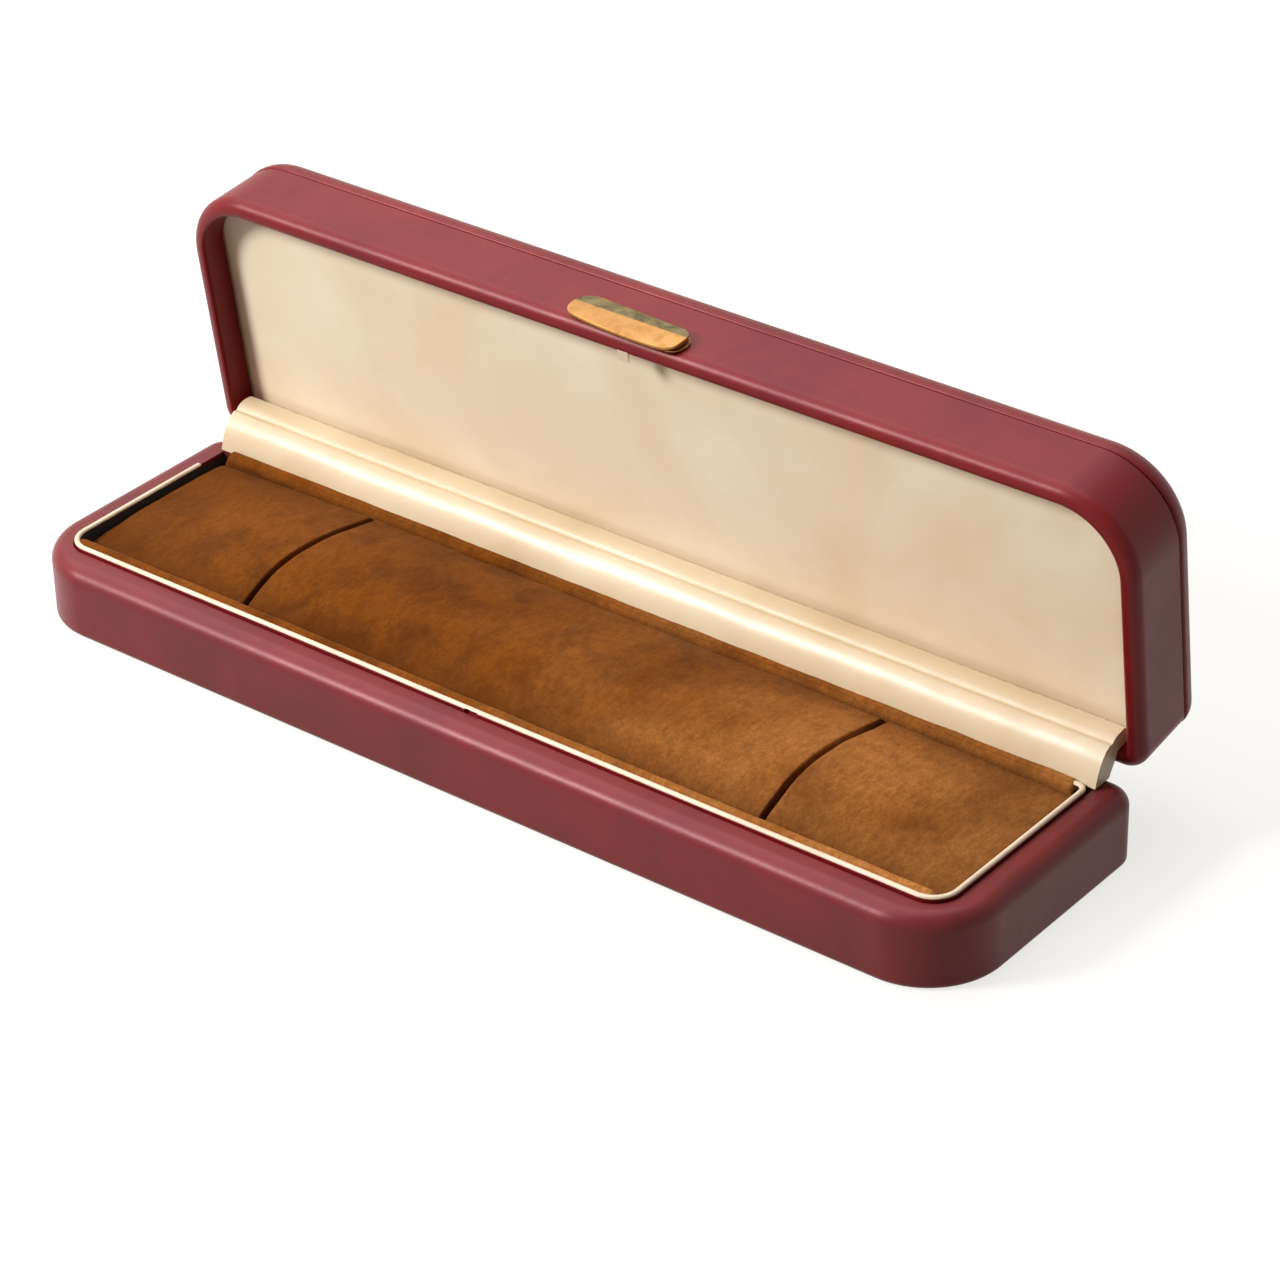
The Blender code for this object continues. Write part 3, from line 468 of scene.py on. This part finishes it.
def makeLip():
    s = lip
    low, high = lipLow, lipHigh
    halfX, halfY = high.x, -low.y
    bm = bmesh.new()
    section = [(0.0, low.z), (s["thickness"], low.z), (s["thickness"], high.z), (0.0, high.z)]
    ring = sweepStart(bm, section, lambda p: (-halfX + p[0], halfY - s["open"], p[1]))
    start = ring
    front, rear = s["frontCorner"], s["rearCorner"]
    ring = sweepStraight(bm, ring, (0, -(2 * halfY - s["open"] - front), 0), s["shortSteps"])
    ring = sweepTurn(bm, ring, (-halfX + front, -halfY + front, 0), 90, s["turnSteps"])
    ring = sweepStraight(bm, ring, (2 * (halfX - front), 0, 0), s["longSteps"])
    ring = sweepTurn(bm, ring, (halfX - front, -halfY + front, 0), 90, s["turnSteps"])
    ring = sweepStraight(bm, ring, (0, 2 * halfY - front - rear, 0), s["shortSteps"])
    ring = sweepTurn(bm, ring, (halfX - rear, halfY - rear, 0), 90, s["rearTurnSteps"])
    ring = sweepStraight(bm, ring, (-(2 * halfX - rear - s["rearOpen"]), 0, 0), s["longSteps"])
    bmesh.ops.edgeloop_fill(bm, edges=start)
    bmesh.ops.edgeloop_fill(bm, edges=ring)
    bmesh.ops.remove_doubles(bm, verts=bm.verts, dist=1e-6)
    bmesh.ops.recalc_face_normals(bm, faces=bm.faces)
    sharp = [edge for edge in bm.edges if edge.calc_face_angle(0.0) > 1.0]
    rims = [edge for edge in sharp if all(vertex.co.z > high.z - 1e-6 for vertex in edge.verts)]
    ends = [edge for edge in sharp if abs(edge.verts[0].co.z - edge.verts[1].co.z) > 0.005]
    roundOff(bm, rims + ends, s["bead"], 4)
    for vertex in bm.verts:  # the strip was laid by hand
        if vertex.co.z > high.z - s["waveBelow"]:
            vertex.co.z += s["wave"] * waves(vertex.co.x, vertex.co.y, 0.3, s["waveScales"])
    for face in bm.faces:  # under the bead: painted shade inside, a near-black card where the strip's inner face lies in shadow; leather outside
        middle = face.calc_center_median()
        if middle.z < high.z - s["bead"] - s["creamBelow"]:
            face.material_index = 1 if face.normal.dot(Vector((middle.x, middle.y * 3, 0))) < 0 else 2
    piece = makePiece(bm, "lipStrip", [creamLip, paintedShadeLining, spineLeather], 60, False)
    cutAway(piece, [s["slot"]])
    slotLow, slotHigh = s["slot"]
    for face in piece.data.polygons:
        if all(a - 1e-5 <= c <= b + 1e-5 for a, c, b in zip(slotLow, face.center, slotHigh)):
            face.material_index = 2
    weightNormals(piece)
    assign(piece, "base", "cream_card", "base_collar")


# Lid coverings, shaped with the lid shut and then opened
lidCovering = {
    "thickness": 0.0010, "frontCorner": 0.017, "rearCorner": 0.005, "rim": 0.0038, "outerRound": 0.0028,
    "innerRound": 0.0009, "draft": 0.03, "crown": 0.0050, "turnDown": 0.0059, "edgeRoll": 0.0007,
    "proud": 0.00022, "grooveFill": 0.00012, "notchDepth": 0.0012, "notchAbove": 0.0088, "notchSide": 0.003,
    "catchGap": 0.0003, "leverPocket": 0.0035, "coverPocket": 0.003, "cornerSteps": 18,
}


def stackLid(bm, rows, around):  # rows are (inset, height above the rim, rear corner where it differs)
    s = lidCovering
    shapes = []
    for inset, height, *corner in rows:
        drawn = inset + s["draft"] * height
        rear = corner[0] if corner else max(s["rearCorner"] - drawn, smallestCorner)
        shapes.append((sideHigh.x - drawn, sideLow.y + drawn, sideHigh.y - drawn, s["frontCorner"] - drawn, rear,
                       s["cornerSteps"]))
    return stackOutlines(bm, shapes, [rimHeight + row[1] for row in rows], around)


def makeLidSide():
    s = lidCovering
    skin, groove, rim, turnDown = s["thickness"], sideHigh.z - rimHeight, s["rim"], s["turnDown"]
    rows = [(0.0, groove), (0.0, 0.0), (rim, 0.0), (rim, turnDown), (rim - skin, turnDown), (rim - skin, skin),
            (skin, skin), (skin, groove)]
    bm = bmesh.new()
    outlines = stackLid(bm, rows, True)
    roundOff(bm, outlines[1], s["outerRound"], 9)
    roundOff(bm, outlines[2], s["innerRound"], 6)
    roundOff(bm, outlines[6], s["outerRound"] - skin, 4)
    piece = makePiece(bm, "lidSideCovering", [redLeather], 50, False)
    leaf, lever, cover = (shutBox(name) for name in ("hinge_leaf_lid", "catch_lever", "catch_cover"))
    gap, past = s["catchGap"], 0.002  # the cuts run past the surfaces
    inside, above = sideLow.y + rim + past, rimHeight + turnDown + 0.001
    cutAway(piece, [
        ((leaf[0].x - s["notchSide"], sideHigh.y - s["notchDepth"], rimHeight - past),
         (leaf[1].x + s["notchSide"], sideHigh.y + past, hingeAt.z + s["notchAbove"])),
        ((lever[0].x - gap, lever[0].y + s["leverPocket"], rimHeight - past), (lever[1].x + gap, inside, above)),
        ((cover[0].x - gap, sideLow.y + skin + s["coverPocket"], rimHeight + skin + gap),
         (cover[1].x + gap, inside, above)),
    ])
    piece.data.transform(openLid)
    weightNormals(piece)
    assign(piece, "lid", "red_leather", "lid_side_leather")


def makeLidTop():
    s = lidCovering
    skin, low, high = s["thickness"], topLow.z - rimHeight - s["grooveFill"], topHigh.z - rimHeight
    spare = 0.0005  # a corner wider than its crown keeps the rounding from folding
    rows = [(skin, high - skin, s["crown"] - skin + spare), (skin, low), (-s["proud"], low),
            (0.0, high, s["crown"] + spare)]
    bm = bmesh.new()
    outlines = stackLid(bm, rows, False)
    bmesh.ops.edgeloop_fill(bm, edges=outlines[0])
    bmesh.ops.edgeloop_fill(bm, edges=outlines[3])
    bmesh.ops.recalc_face_normals(bm, faces=bm.faces)
    roundOff(bm, outlines[0], s["crown"] - skin, 6)
    roundOff(bm, outlines[3], s["crown"], 12)
    roundOff(bm, outlines[2], s["edgeRoll"], 4)
    piece = makePiece(bm, "lidTopCovering", [redLeather], 50, False)
    piece.data.transform(openLid)
    weightNormals(piece)
    assign(piece, "lid", "red_leather", "lid_top_leather")


# Satin panel: laid over its board, a little full, tucked under the rim
panel = {"pitch": 0.0030, "swell": 0.0007, "edgeRound": 0.0022, "edgeFall": 0.35, "ripple": 0.00010,
         "rippleScales": (45, 60, 1), "lift": 0.0003, "rearCorner": 0.0005}


def makePanel():
    s = panel
    low, high = shutBox("lid_satin_panel")
    corner = lidCovering["frontCorner"] - (sideHigh.x - high.x)
    bm = bmesh.new()
    outline = addOutline(bm, high.x, low.y, high.y, corner, s["rearCorner"], 12, high.z)
    bmesh.ops.edgeloop_fill(bm, edges=outline)
    for normal, start, end in ((Vector((1, 0, 0)), low.x, high.x), (Vector((0, 1, 0)), low.y, high.y)):
        count = round((end - start) / s["pitch"])
        for i in range(1, count):
            point = normal * (start + (end - start) * i / count)
            bmesh.ops.bisect_plane(bm, geom=bm.verts[:] + bm.edges[:] + bm.faces[:], plane_co=point, plane_no=normal)
    made = bmesh.ops.extrude_face_region(bm, geom=bm.faces[:])["geom"]
    front = [item for item in made if isinstance(item, bmesh.types.BMVert)]
    bmesh.ops.translate(bm, vec=(0, 0, low.z - high.z), verts=front)
    for vertex in front:
        x, y = vertex.co.x, vertex.co.y
        away = min(high.x - abs(x), y - low.y, high.y - y)
        share = min(max(away / s["edgeRound"], 0.0), 1.0)
        fall = s["edgeRound"] * s["edgeFall"] * (1 - math.sqrt(max(1 - (1 - share) ** 2, 0.0)))
        middle = 1 - (abs(x) / high.x) ** 2
        across = 1 - ((y - (low.y + high.y) / 2) / ((high.y - low.y) / 2)) ** 2
        swell = s["swell"] * (max(middle, 0.0) ** 0.4) * max(across, 0.0) ** 0.6
        ripple = waves(x, y, 4.0, s["rippleScales"]) * s["ripple"] * share
        vertex.co.z += fall - swell + ripple + s["lift"]
    piece = makePiece(bm, "satinPanel", [panelSatin], 60)
    piece.data.transform(openLid)
    assign(piece, "lid", "cream_satin", "lid_satin_panel")


# Satin roll over the hinge: a front roll, a stitched fold and a strip back to the panel
roll = {
    "front": [(0.0, 0.0), (0.0008, 0.0026), (0.0020, 0.0050), (0.0034, 0.0066), (0.0046, 0.0074),
              (0.0052, 0.0074), (0.0056, 0.0075), (0.0064, 0.0082), (0.0078, 0.0087), (0.0105, 0.0086)],
    "tuck": 0.0006, "tuckEase": (-0.0016, 0.0001), "behindRim": [(0.0, 0.0012), (0.0016, -0.0003)],
    "behindHinge": (-0.0022, 0.0010), "behindFoot": -0.0026, "clear": 0.0002, "columns": 150,
    "wrinkle": 0.00016, "wrinkleFrom": 0.006, "wrinkleScales": (55, 90, 90), "fineScales": (190, 60, 60),
}


def smoothPath(points, steps):
    ends = [points[0]] + list(points) + [points[-1]]
    path = []
    for a, b, c, d in zip(ends, ends[1:], ends[2:], ends[3:]):
        for i in range(steps):
            t = i / steps
            path.append(tuple(0.5 * (2 * q + (r - p) * t + (2 * p - 5 * q + 4 * r - w) * t ** 2
                                     + (3 * q - p - 3 * r + w) * t ** 3) for p, q, r, w in zip(a, b, c, d)))
    return path + [tuple(points[-1])]


def makeRoll():
    s = roll
    low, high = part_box("hinge_cover")
    panelFace = shutBox("lid_satin_panel")[0].z - s["clear"]
    wall = sideHigh.y - lidCovering["rim"] - s["clear"]

    def opened(y, z):
        point = openLid @ Vector((0, y, z))
        return point.y, point.z

    front = [(low.y + y, low.z + z) for y, z in s["front"]]
    tuck = opened(wall - s["tuck"], panelFace)
    ease = (tuck[0] + s["tuckEase"][0], tuck[1] + s["tuckEase"][1])
    skinPath = smoothPath(front + [ease, tuck], 5)
    back = [opened(wall, panelFace)] + [opened(wall + y, rimHeight + z) for y, z in s["behindRim"]]
    back += [(hingeAt.y + s["behindHinge"][0], hingeAt.z + s["behindHinge"][1]), (hingeAt.y + s["behindFoot"], low.z)]
    bm = bmesh.new()
    start = sweepStart(bm, skinPath + back, lambda p: (-high.x, p[0], p[1]))
    last = sweepStraight(bm, start, (2 * high.x, 0, 0), s["columns"])
    for end in (start, last):
        bmesh.ops.edgeloop_fill(bm, edges=end)
    for vertex in bm.verts:
        x, y, z = vertex.co
        height = min(max((z - low.z) / s["wrinkleFrom"], 0.0), 1.0)
        push = s["wrinkle"] * height * (waves(x, y, z, s["wrinkleScales"]) + 0.35 * waves(x, y, z, s["fineScales"]))
        if y < hingeAt.y + 0.001:
            vertex.co.y -= push
            vertex.co.z += push
    piece = makePiece(bm, "satinRoll", [rollSatin], 50, False)
    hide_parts("hinge_cover")
    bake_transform(piece)


def makeSpine():
    bm = bmesh.new()
    bm.from_mesh(frame["nodes"]["hinge_spine"].data)
    bmesh.ops.remove_doubles(bm, verts=bm.verts, dist=1e-6)
    bmesh.ops.dissolve_limit(bm, angle_limit=math.radians(1), verts=bm.verts, edges=bm.edges)
    piece = makePiece(bm, "hingeSpine", [spineLeather], 50, False)
    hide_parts("hinge_spine")
    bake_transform(piece)


# Velvet pads: flat at the outer ends, arched at the slits, filled out by a short cloth run
pads = {
    "slit": 0.0665, "slitWidth": 0.0013, "end": 0.1103, "front": -0.0209, "back": 0.0222,
    "arch": [(-0.0209, 0.0128), (-0.0196, 0.0137), (-0.0180, 0.0148), (-0.0135, 0.0170), (-0.0088, 0.0187),
             (-0.0036, 0.0195), (0.0023, 0.0195), (0.0090, 0.0189), (0.0150, 0.0178), (0.0190, 0.0170),
             (0.0222, 0.0163)],
    "flat": [(-0.0209, 0.0143), (-0.0150, 0.0151), (-0.0060, 0.0156), (0.0060, 0.0158), (0.0140, 0.0157),
             (0.0190, 0.0154), (0.0222, 0.0150)],
    "step": 0.0011, "edge": 0.0005, "pressure": 4.0, "cap": 0.0003, "gluedHeight": 0.002,
    "frames": 20, "lump": 0.00020, "lumpScales": (85, 210), "lumpFrom": 0.004, "lumpFade": 0.002,
}


def padHeight(x, y):
    s = pads
    arch = float(np.interp(y, *zip(*smoothPath(s["arch"], 6))))
    if abs(x) < s["slit"]:
        return arch
    end = float(np.interp(y, *zip(*s["flat"])))
    share = min((s["end"] - abs(x)) / (s["end"] - s["slit"]), 1.0)
    return end + (arch - end) * share


def fillOut(piece, floor):
    s = pads
    start = [vertex.co.copy() for vertex in piece.data.vertices]
    edges = {i for edge in piece.data.edges if edge.use_seam for i in edge.vertices}
    group = piece.vertex_groups.new(name="glued")
    glued = [i for i, point in enumerate(start) if point.z < floor + s["gluedHeight"] or i in edges]
    group.add(glued, 1.0, 'REPLACE')
    cloth = piece.modifiers.new("cloth", 'CLOTH')
    cloth.settings.use_pressure = True
    cloth.settings.uniform_pressure_force = s["pressure"]
    cloth.settings.effector_weights.gravity = 0.0
    cloth.settings.vertex_group_mass = "glued"
    cloth.settings.tension_stiffness = 25
    cloth.settings.bending_stiffness = 2.0
    scene = bpy.context.scene
    for frameNumber in range(1, s["frames"] + 1):
        scene.frame_set(frameNumber)
    settle(piece)
    moves = [vertex.co - point for vertex, point in zip(piece.data.vertices, start)]
    for vertex, point, move in zip(piece.data.vertices, start, moves):  # no fuller than the cap
        vertex.co = point + move * min(1.0, s["cap"] / max(move.length, 1e-9))
    scene.frame_set(1)


def makePad(name, node, left, right):
    s = pads
    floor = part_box(node)[0].z
    bm = bmesh.new()
    bmesh.ops.create_grid(bm, x_segments=round((right - left) / s["step"]),
                          y_segments=round((s["back"] - s["front"]) / s["step"]), size=1.0)
    bmesh.ops.scale(bm, vec=((right - left) / 2, (s["back"] - s["front"]) / 2, 1.0), verts=bm.verts)
    bmesh.ops.translate(bm, vec=((left + right) / 2, (s["front"] + s["back"]) / 2, floor), verts=bm.verts)
    made = bmesh.ops.extrude_face_region(bm, geom=bm.faces[:])["geom"]
    top = {item for item in made if isinstance(item, bmesh.types.BMVert)}
    for vertex in top:
        vertex.co.z = padHeight(vertex.co.x, vertex.co.y)
    bmesh.ops.recalc_face_normals(bm, faces=bm.faces)
    rim = [edge for edge in bm.edges if set(edge.verts) <= top and
           any(not set(face.verts) <= top for face in edge.link_faces)]
    rounded = bmesh.ops.bevel(bm, geom=rim, offset=s["edge"], offset_type='OFFSET', affect='EDGES', segments=3,
                              profile=0.5, material=-1)["faces"]
    for face in rounded:
        for edge in face.edges:
            edge.seam = True
    piece = makePiece(bm, name, [brownVelvet], 180, False)
    fillOut(piece, floor)
    subdivide = piece.modifiers.new("subdivide", 'SUBSURF')
    subdivide.levels = subdivide.render_levels = 1
    settle(piece)
    shifts = []
    for vertex in piece.data.vertices:
        coarse, fine = (noise.noise(vertex.co * scale) for scale in s["lumpScales"])
        lump = coarse + 0.5 * fine
        above = min(max((vertex.co.z - floor - s["lumpFrom"]) / s["lumpFade"], 0.0), 1.0)
        shifts.append(vertex.normal * s["lump"] * lump * above)
    for vertex, shift in zip(piece.data.vertices, shifts):
        vertex.co += shift
    piece.data.shade_smooth()
    assign(piece, "base", "brown_velvet", node)


# Welts: the front one rises beside the lip, the back one rolls over it and hides it
welts = {
    "front": {"inner": -0.0212, "top": 0.01755},
    "back": [(0.02238, 0.0158), (0.0225, 0.0165), (0.0229, 0.0171), (0.0235, 0.01755), (0.0241, 0.01772),
             (0.0246, 0.01768), (0.02485, 0.01747), (0.02323, 0.01747)],
    "columns": 260, "reach": 0.1098, "taper": 0.0014, "taperFall": 0.0016, "taperAbove": 0.004,
    "fuzz": 0.00022, "fuzzFrom": 0.0009, "fuzzFade": 0.0006, "coarseScales": (130, 400, 1), "fineScales": (700, 600, 1),
}


def makeWelt(name, node, section):
    s = welts
    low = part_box(node)[0]
    bm = bmesh.new()
    start = sweepStart(bm, section, lambda p: (-s["reach"], p[0], p[1]))
    last = sweepStraight(bm, start, (2 * s["reach"], 0, 0), s["columns"])
    for end in (start, last):
        bmesh.ops.edgeloop_fill(bm, edges=end)
    crest = max(point[1] for point in section)
    for vertex in bm.verts:
        share = min(max((vertex.co.z - crest + s["fuzzFrom"]) / s["fuzzFade"], 0.0), 1.0)
        push = waves(vertex.co.x, vertex.co.y, 1.0, s["coarseScales"])
        fine = waves(vertex.co.x, vertex.co.y, 5.0, s["fineScales"])
        vertex.co.z += s["fuzz"] * share * (max(push, -0.2) + 0.4 * max(fine, 0.0))
        near = min(max(1 - (s["reach"] - abs(vertex.co.x)) / s["taper"], 0.0), 1.0)
        if vertex.co.z > low.z + s["taperAbove"]:
            vertex.co.z -= s["taperFall"] * (1 - math.sqrt(1 - near * near))
    piece = makePiece(bm, name, [litWeltVelvet], 60, False)
    assign(piece, "base", "brown_velvet", node)


def makeWelts():
    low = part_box("pad_front_welt")[0]
    inner, top = welts["front"]["inner"], welts["front"]["top"]
    outer = lipLow.y + lip["thickness"]
    radius = (inner - outer) / 2
    section = [(outer, low.z)]
    for i in range(11):
        turn = math.pi * (1 - i / 10)
        section.append((outer + radius + radius * math.cos(turn), top - radius + radius * math.sin(turn)))
    makeWelt("frontWelt", "pad_front_welt", section + [(inner, low.z)])
    first, last = welts["back"][0], welts["back"][-1]
    makeWelt("backWelt", "pad_back_welt", [(first[0], low.z)] + welts["back"] + [(last[0], low.z)])


# Button: gilt cap with a back facet in darker, duller gilt, partly tarnish and partly painted reflection, on a thin
# plate
buttonCap = {
    "length": 0.0283, "height": 0.0089, "tilt": -2.5, "endShare": 0.36, "bowShare": 0.07, "thickness": 0.0009,
    "ridgeShare": 0.12, "facetTilt": 9, "lower": 0.0005, "edge": 0.00028, "stemRadius": 0.0009, "stemHeight": 0.0052,
}


def capOutline():
    s = buttonCap
    half, high = s["length"] / 2, s["height"] / 2
    lift, radius = s["height"] * s["bowShare"], s["height"] * s["endShare"]
    right = [(half - radius + radius * math.cos(turn), high - radius + radius * math.sin(turn))
             for turn in [math.radians(90 - 10 * i) for i in range(10)]]
    right += [(half - radius + radius * math.cos(turn), radius + lift - high + radius * math.sin(turn))
              for turn in [math.radians(-7.5 * i) for i in range(11)]]
    reach = right[-1][0]
    bow = [(reach * share, lift * share ** 2 - high) for share in [1 - i / 8 for i in range(1, 16)]]
    c, t = math.cos(math.radians(s["tilt"])), math.sin(math.radians(s["tilt"]))
    return [(x * c - z * t, x * t + z * c) for x, z in right + bow + [(-x, z) for x, z in reversed(right)]]


def makeButton():
    s = buttonCap
    low, high = shutBox("button")
    middle = Vector(((low.x + high.x) / 2, low.y, (low.z + high.z) / 2 - s["lower"]))
    thickness = s["thickness"]
    bm = bmesh.new()
    ring = sweepStart(bm, capOutline(), lambda p: (middle.x + p[0], middle.y, middle.z + p[1]))
    face = bmesh.ops.edgeloop_fill(bm, edges=ring)["faces"]
    made = bmesh.ops.extrude_face_region(bm, geom=face)["geom"]
    back = [item for item in made if isinstance(item, bmesh.types.BMVert)]
    bmesh.ops.translate(bm, vec=(0, thickness, 0), verts=back)
    bmesh.ops.recalc_face_normals(bm, faces=bm.faces)
    ridge = middle.z + s["height"] * s["ridgeShare"]
    tilt = math.radians(s["facetTilt"])
    cut = bmesh.ops.bisect_plane(bm, geom=bm.verts[:] + bm.edges[:] + bm.faces[:], plane_co=(0, middle.y, ridge),
                                 plane_no=(0, -math.cos(tilt), math.sin(tilt)), clear_outer=True)
    edges = [item for item in cut["geom_cut"] if isinstance(item, bmesh.types.BMEdge)]
    for face in bmesh.ops.edgeloop_fill(bm, edges=edges)["faces"]:  # the facet: tarnish with painted reflection
        face.material_index = 1
    sharp = [edge for edge in bm.edges if edge.calc_face_angle(0.0) > math.radians(15)]
    bmesh.ops.bevel(bm, geom=sharp, offset=s["edge"], offset_type='OFFSET', affect='EDGES', segments=2, profile=0.5,
                    material=-1)
    stem = bmesh.ops.create_cone(bm, cap_ends=True, segments=24, radius1=s["stemRadius"], radius2=s["stemRadius"],
                                 depth=high.y - middle.y - thickness / 2)["verts"]
    bmesh.ops.rotate(bm, verts=stem, cent=(0, 0, 0), matrix=Matrix.Rotation(math.pi / 2, 3, 'X'))
    bmesh.ops.translate(bm, vec=(0, (middle.y + thickness / 2 + high.y) / 2, rimHeight + s["stemHeight"]), verts=stem)
    piece = makePiece(bm, "buttonCap", [gold, dullGold], 30)
    piece.data.transform(openLid)
    assign(piece, "button", "gilt_brass", "button")


def dressNodes():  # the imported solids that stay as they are
    looks = {
        # the base shell's wood is painted near black as shade
        "base_shell": paintedShadeWood, "lid_shell": bareWood, "base_foot_panel": footPaper, "pad_board": padBoard,
        "lid_panel_board": greyBoard, "hinge_leaf_base": hingeSteel, "hinge_leaf_lid": hingeSteel,
        "hinge_pin": hingeSteel, "button_escutcheon": gold, "catch_axle": hingeSteel, "catch_spring": hingeSteel,
        "catch_cover": hingeSteel, "catch_lever": creamLacquer,
    }
    for name, look in looks.items():
        mesh = frame["nodes"][name].data
        mesh.materials.clear()
        mesh.materials.append(look)


# Pieces, in the order of the case
makeBaseCovering()
makeLip()
print("base covered")
makeLidSide()
makeLidTop()
makePanel()
print("lid covered")
makeRoll()
print("roll laid")
makeSpine()
print("spine laid")
slitNear, slitFar = pads["slit"] - pads["slitWidth"] / 2, pads["slit"] + pads["slitWidth"] / 2
makePad("padLeft", "pad_left", -pads["end"], -slitFar)
makePad("padCentre", "pad_centre", -slitNear, slitNear)
makePad("padRight", "pad_right", slitFar, pads["end"])
print("pads filled")
makeWelts()
print("welts laid")
makeButton()
dressNodes()
print("button made and solids dressed")


# Studio: pale floor, a key from the front left, a broad top lamp and a white surround
studio = {
    "floorSize": 6.0, "floorColour": (0.28, 0.278, 0.272), "white": (1.0, 0.992, 0.96, 1.0), "floorLift": 0.76,
    "sky": 0.13,
    "lights": [  # name, direction, distance, size, watts
        ("key", (-0.536, -0.629, 0.564), 1.25, 0.34, 15.5),
        ("top", (-0.40, 0.10, 1.0), 1.3, 1.7, 16.5),
    ],
}


def makeFloor():
    s = studio
    bm = bmesh.new()
    bmesh.ops.create_grid(bm, x_segments=1, y_segments=1, size=s["floorSize"] / 2)
    mesh = bpy.data.meshes.new("floor")
    bm.to_mesh(mesh)
    bm.free()
    floor = bpy.data.objects.new("floor", mesh)
    bpy.context.scene.collection.objects.link(floor)
    material, tree, shader = startMaterial("floorWhite", Roughness=1.0, Specular_IOR_Level=0.0,
                                           Base_Color=(*s["floorColour"], 1.0), Emission_Color=s["white"])[:3]
    path = addNode(tree, "ShaderNodeLightPath")
    seen = combine(tree, 'MAXIMUM', path.outputs["Is Camera Ray"], path.outputs["Is Glossy Ray"])
    tree.links.new(combine(tree, 'MULTIPLY', seen, s["floorLift"]), shader.inputs["Emission Strength"])
    floor.data.materials.append(material)


def makeWorld():  # white where it is seen, dim where it lights
    s = studio
    world = bpy.data.worlds.new("studio")
    bpy.context.scene.world = world
    world.use_nodes = True
    tree = world.node_tree
    background = tree.nodes["Background"]
    path = addNode(tree, "ShaderNodeLightPath")
    seen = combine(tree, 'MAXIMUM', path.outputs["Is Camera Ray"], path.outputs["Is Glossy Ray"])
    seen = combine(tree, 'MAXIMUM', seen, path.outputs["Is Transmission Ray"])
    tree.links.new(spread(tree, seen, 0.0, 1.0, s["sky"], 1.0), background.inputs["Strength"])
    background.inputs["Color"].default_value = s["white"]


def makeLights():
    for name, direction, distance, size, power in studio["lights"]:
        data = bpy.data.lights.new(name, 'AREA')
        data.shape = 'DISK'
        data.size = size
        data.energy = power
        light = bpy.data.objects.new(name, data)
        bpy.context.scene.collection.objects.link(light)
        toLight = Vector(direction).normalized()
        light.location = toLight * distance
        light.rotation_mode = 'QUATERNION'
        light.rotation_quaternion = toLight.to_track_quat('Z', 'Y')


# Camera, fitted to the photograph: angles in degrees, lengths in metres, lens and sensor in millimetres
camera = {"yaw": 38.877, "pitch": 31.412, "roll": -1.286, "distance": 0.87259, "aimAcross": 0.017594,
          "aimUp": 0.018025, "lens": 121.27, "sensor": 36.0}


def makeCamera():
    s = camera
    yaw, pitch, rollTurn = (math.radians(s[key]) for key in ("yaw", "pitch", "roll"))
    across = Vector((math.cos(yaw), math.sin(yaw), 0))
    back = Vector((math.sin(yaw) * math.cos(pitch), -math.cos(yaw) * math.cos(pitch), math.sin(pitch)))
    up = back.cross(across)
    right = across * math.cos(rollTurn) + up * math.sin(rollTurn)
    top = up * math.cos(rollTurn) - across * math.sin(rollTurn)
    data = bpy.data.cameras.new("photoCamera")
    data.lens = s["lens"]
    data.sensor_width = s["sensor"]
    data.clip_start, data.clip_end = 0.05, 20.0
    viewer = bpy.data.objects.new("photoCamera", data)
    bpy.context.scene.collection.objects.link(viewer)
    turn = Matrix((right, top, back)).transposed().to_4x4()
    viewer.matrix_world = Matrix.Translation(right * s["aimAcross"] + top * s["aimUp"] + back * s["distance"]) @ turn
    bpy.context.scene.camera = viewer


makeFloor()
makeWorld()
makeLights()
makeCamera()
bpy.context.scene.view_settings.view_transform = 'Standard'
print("scene ready")
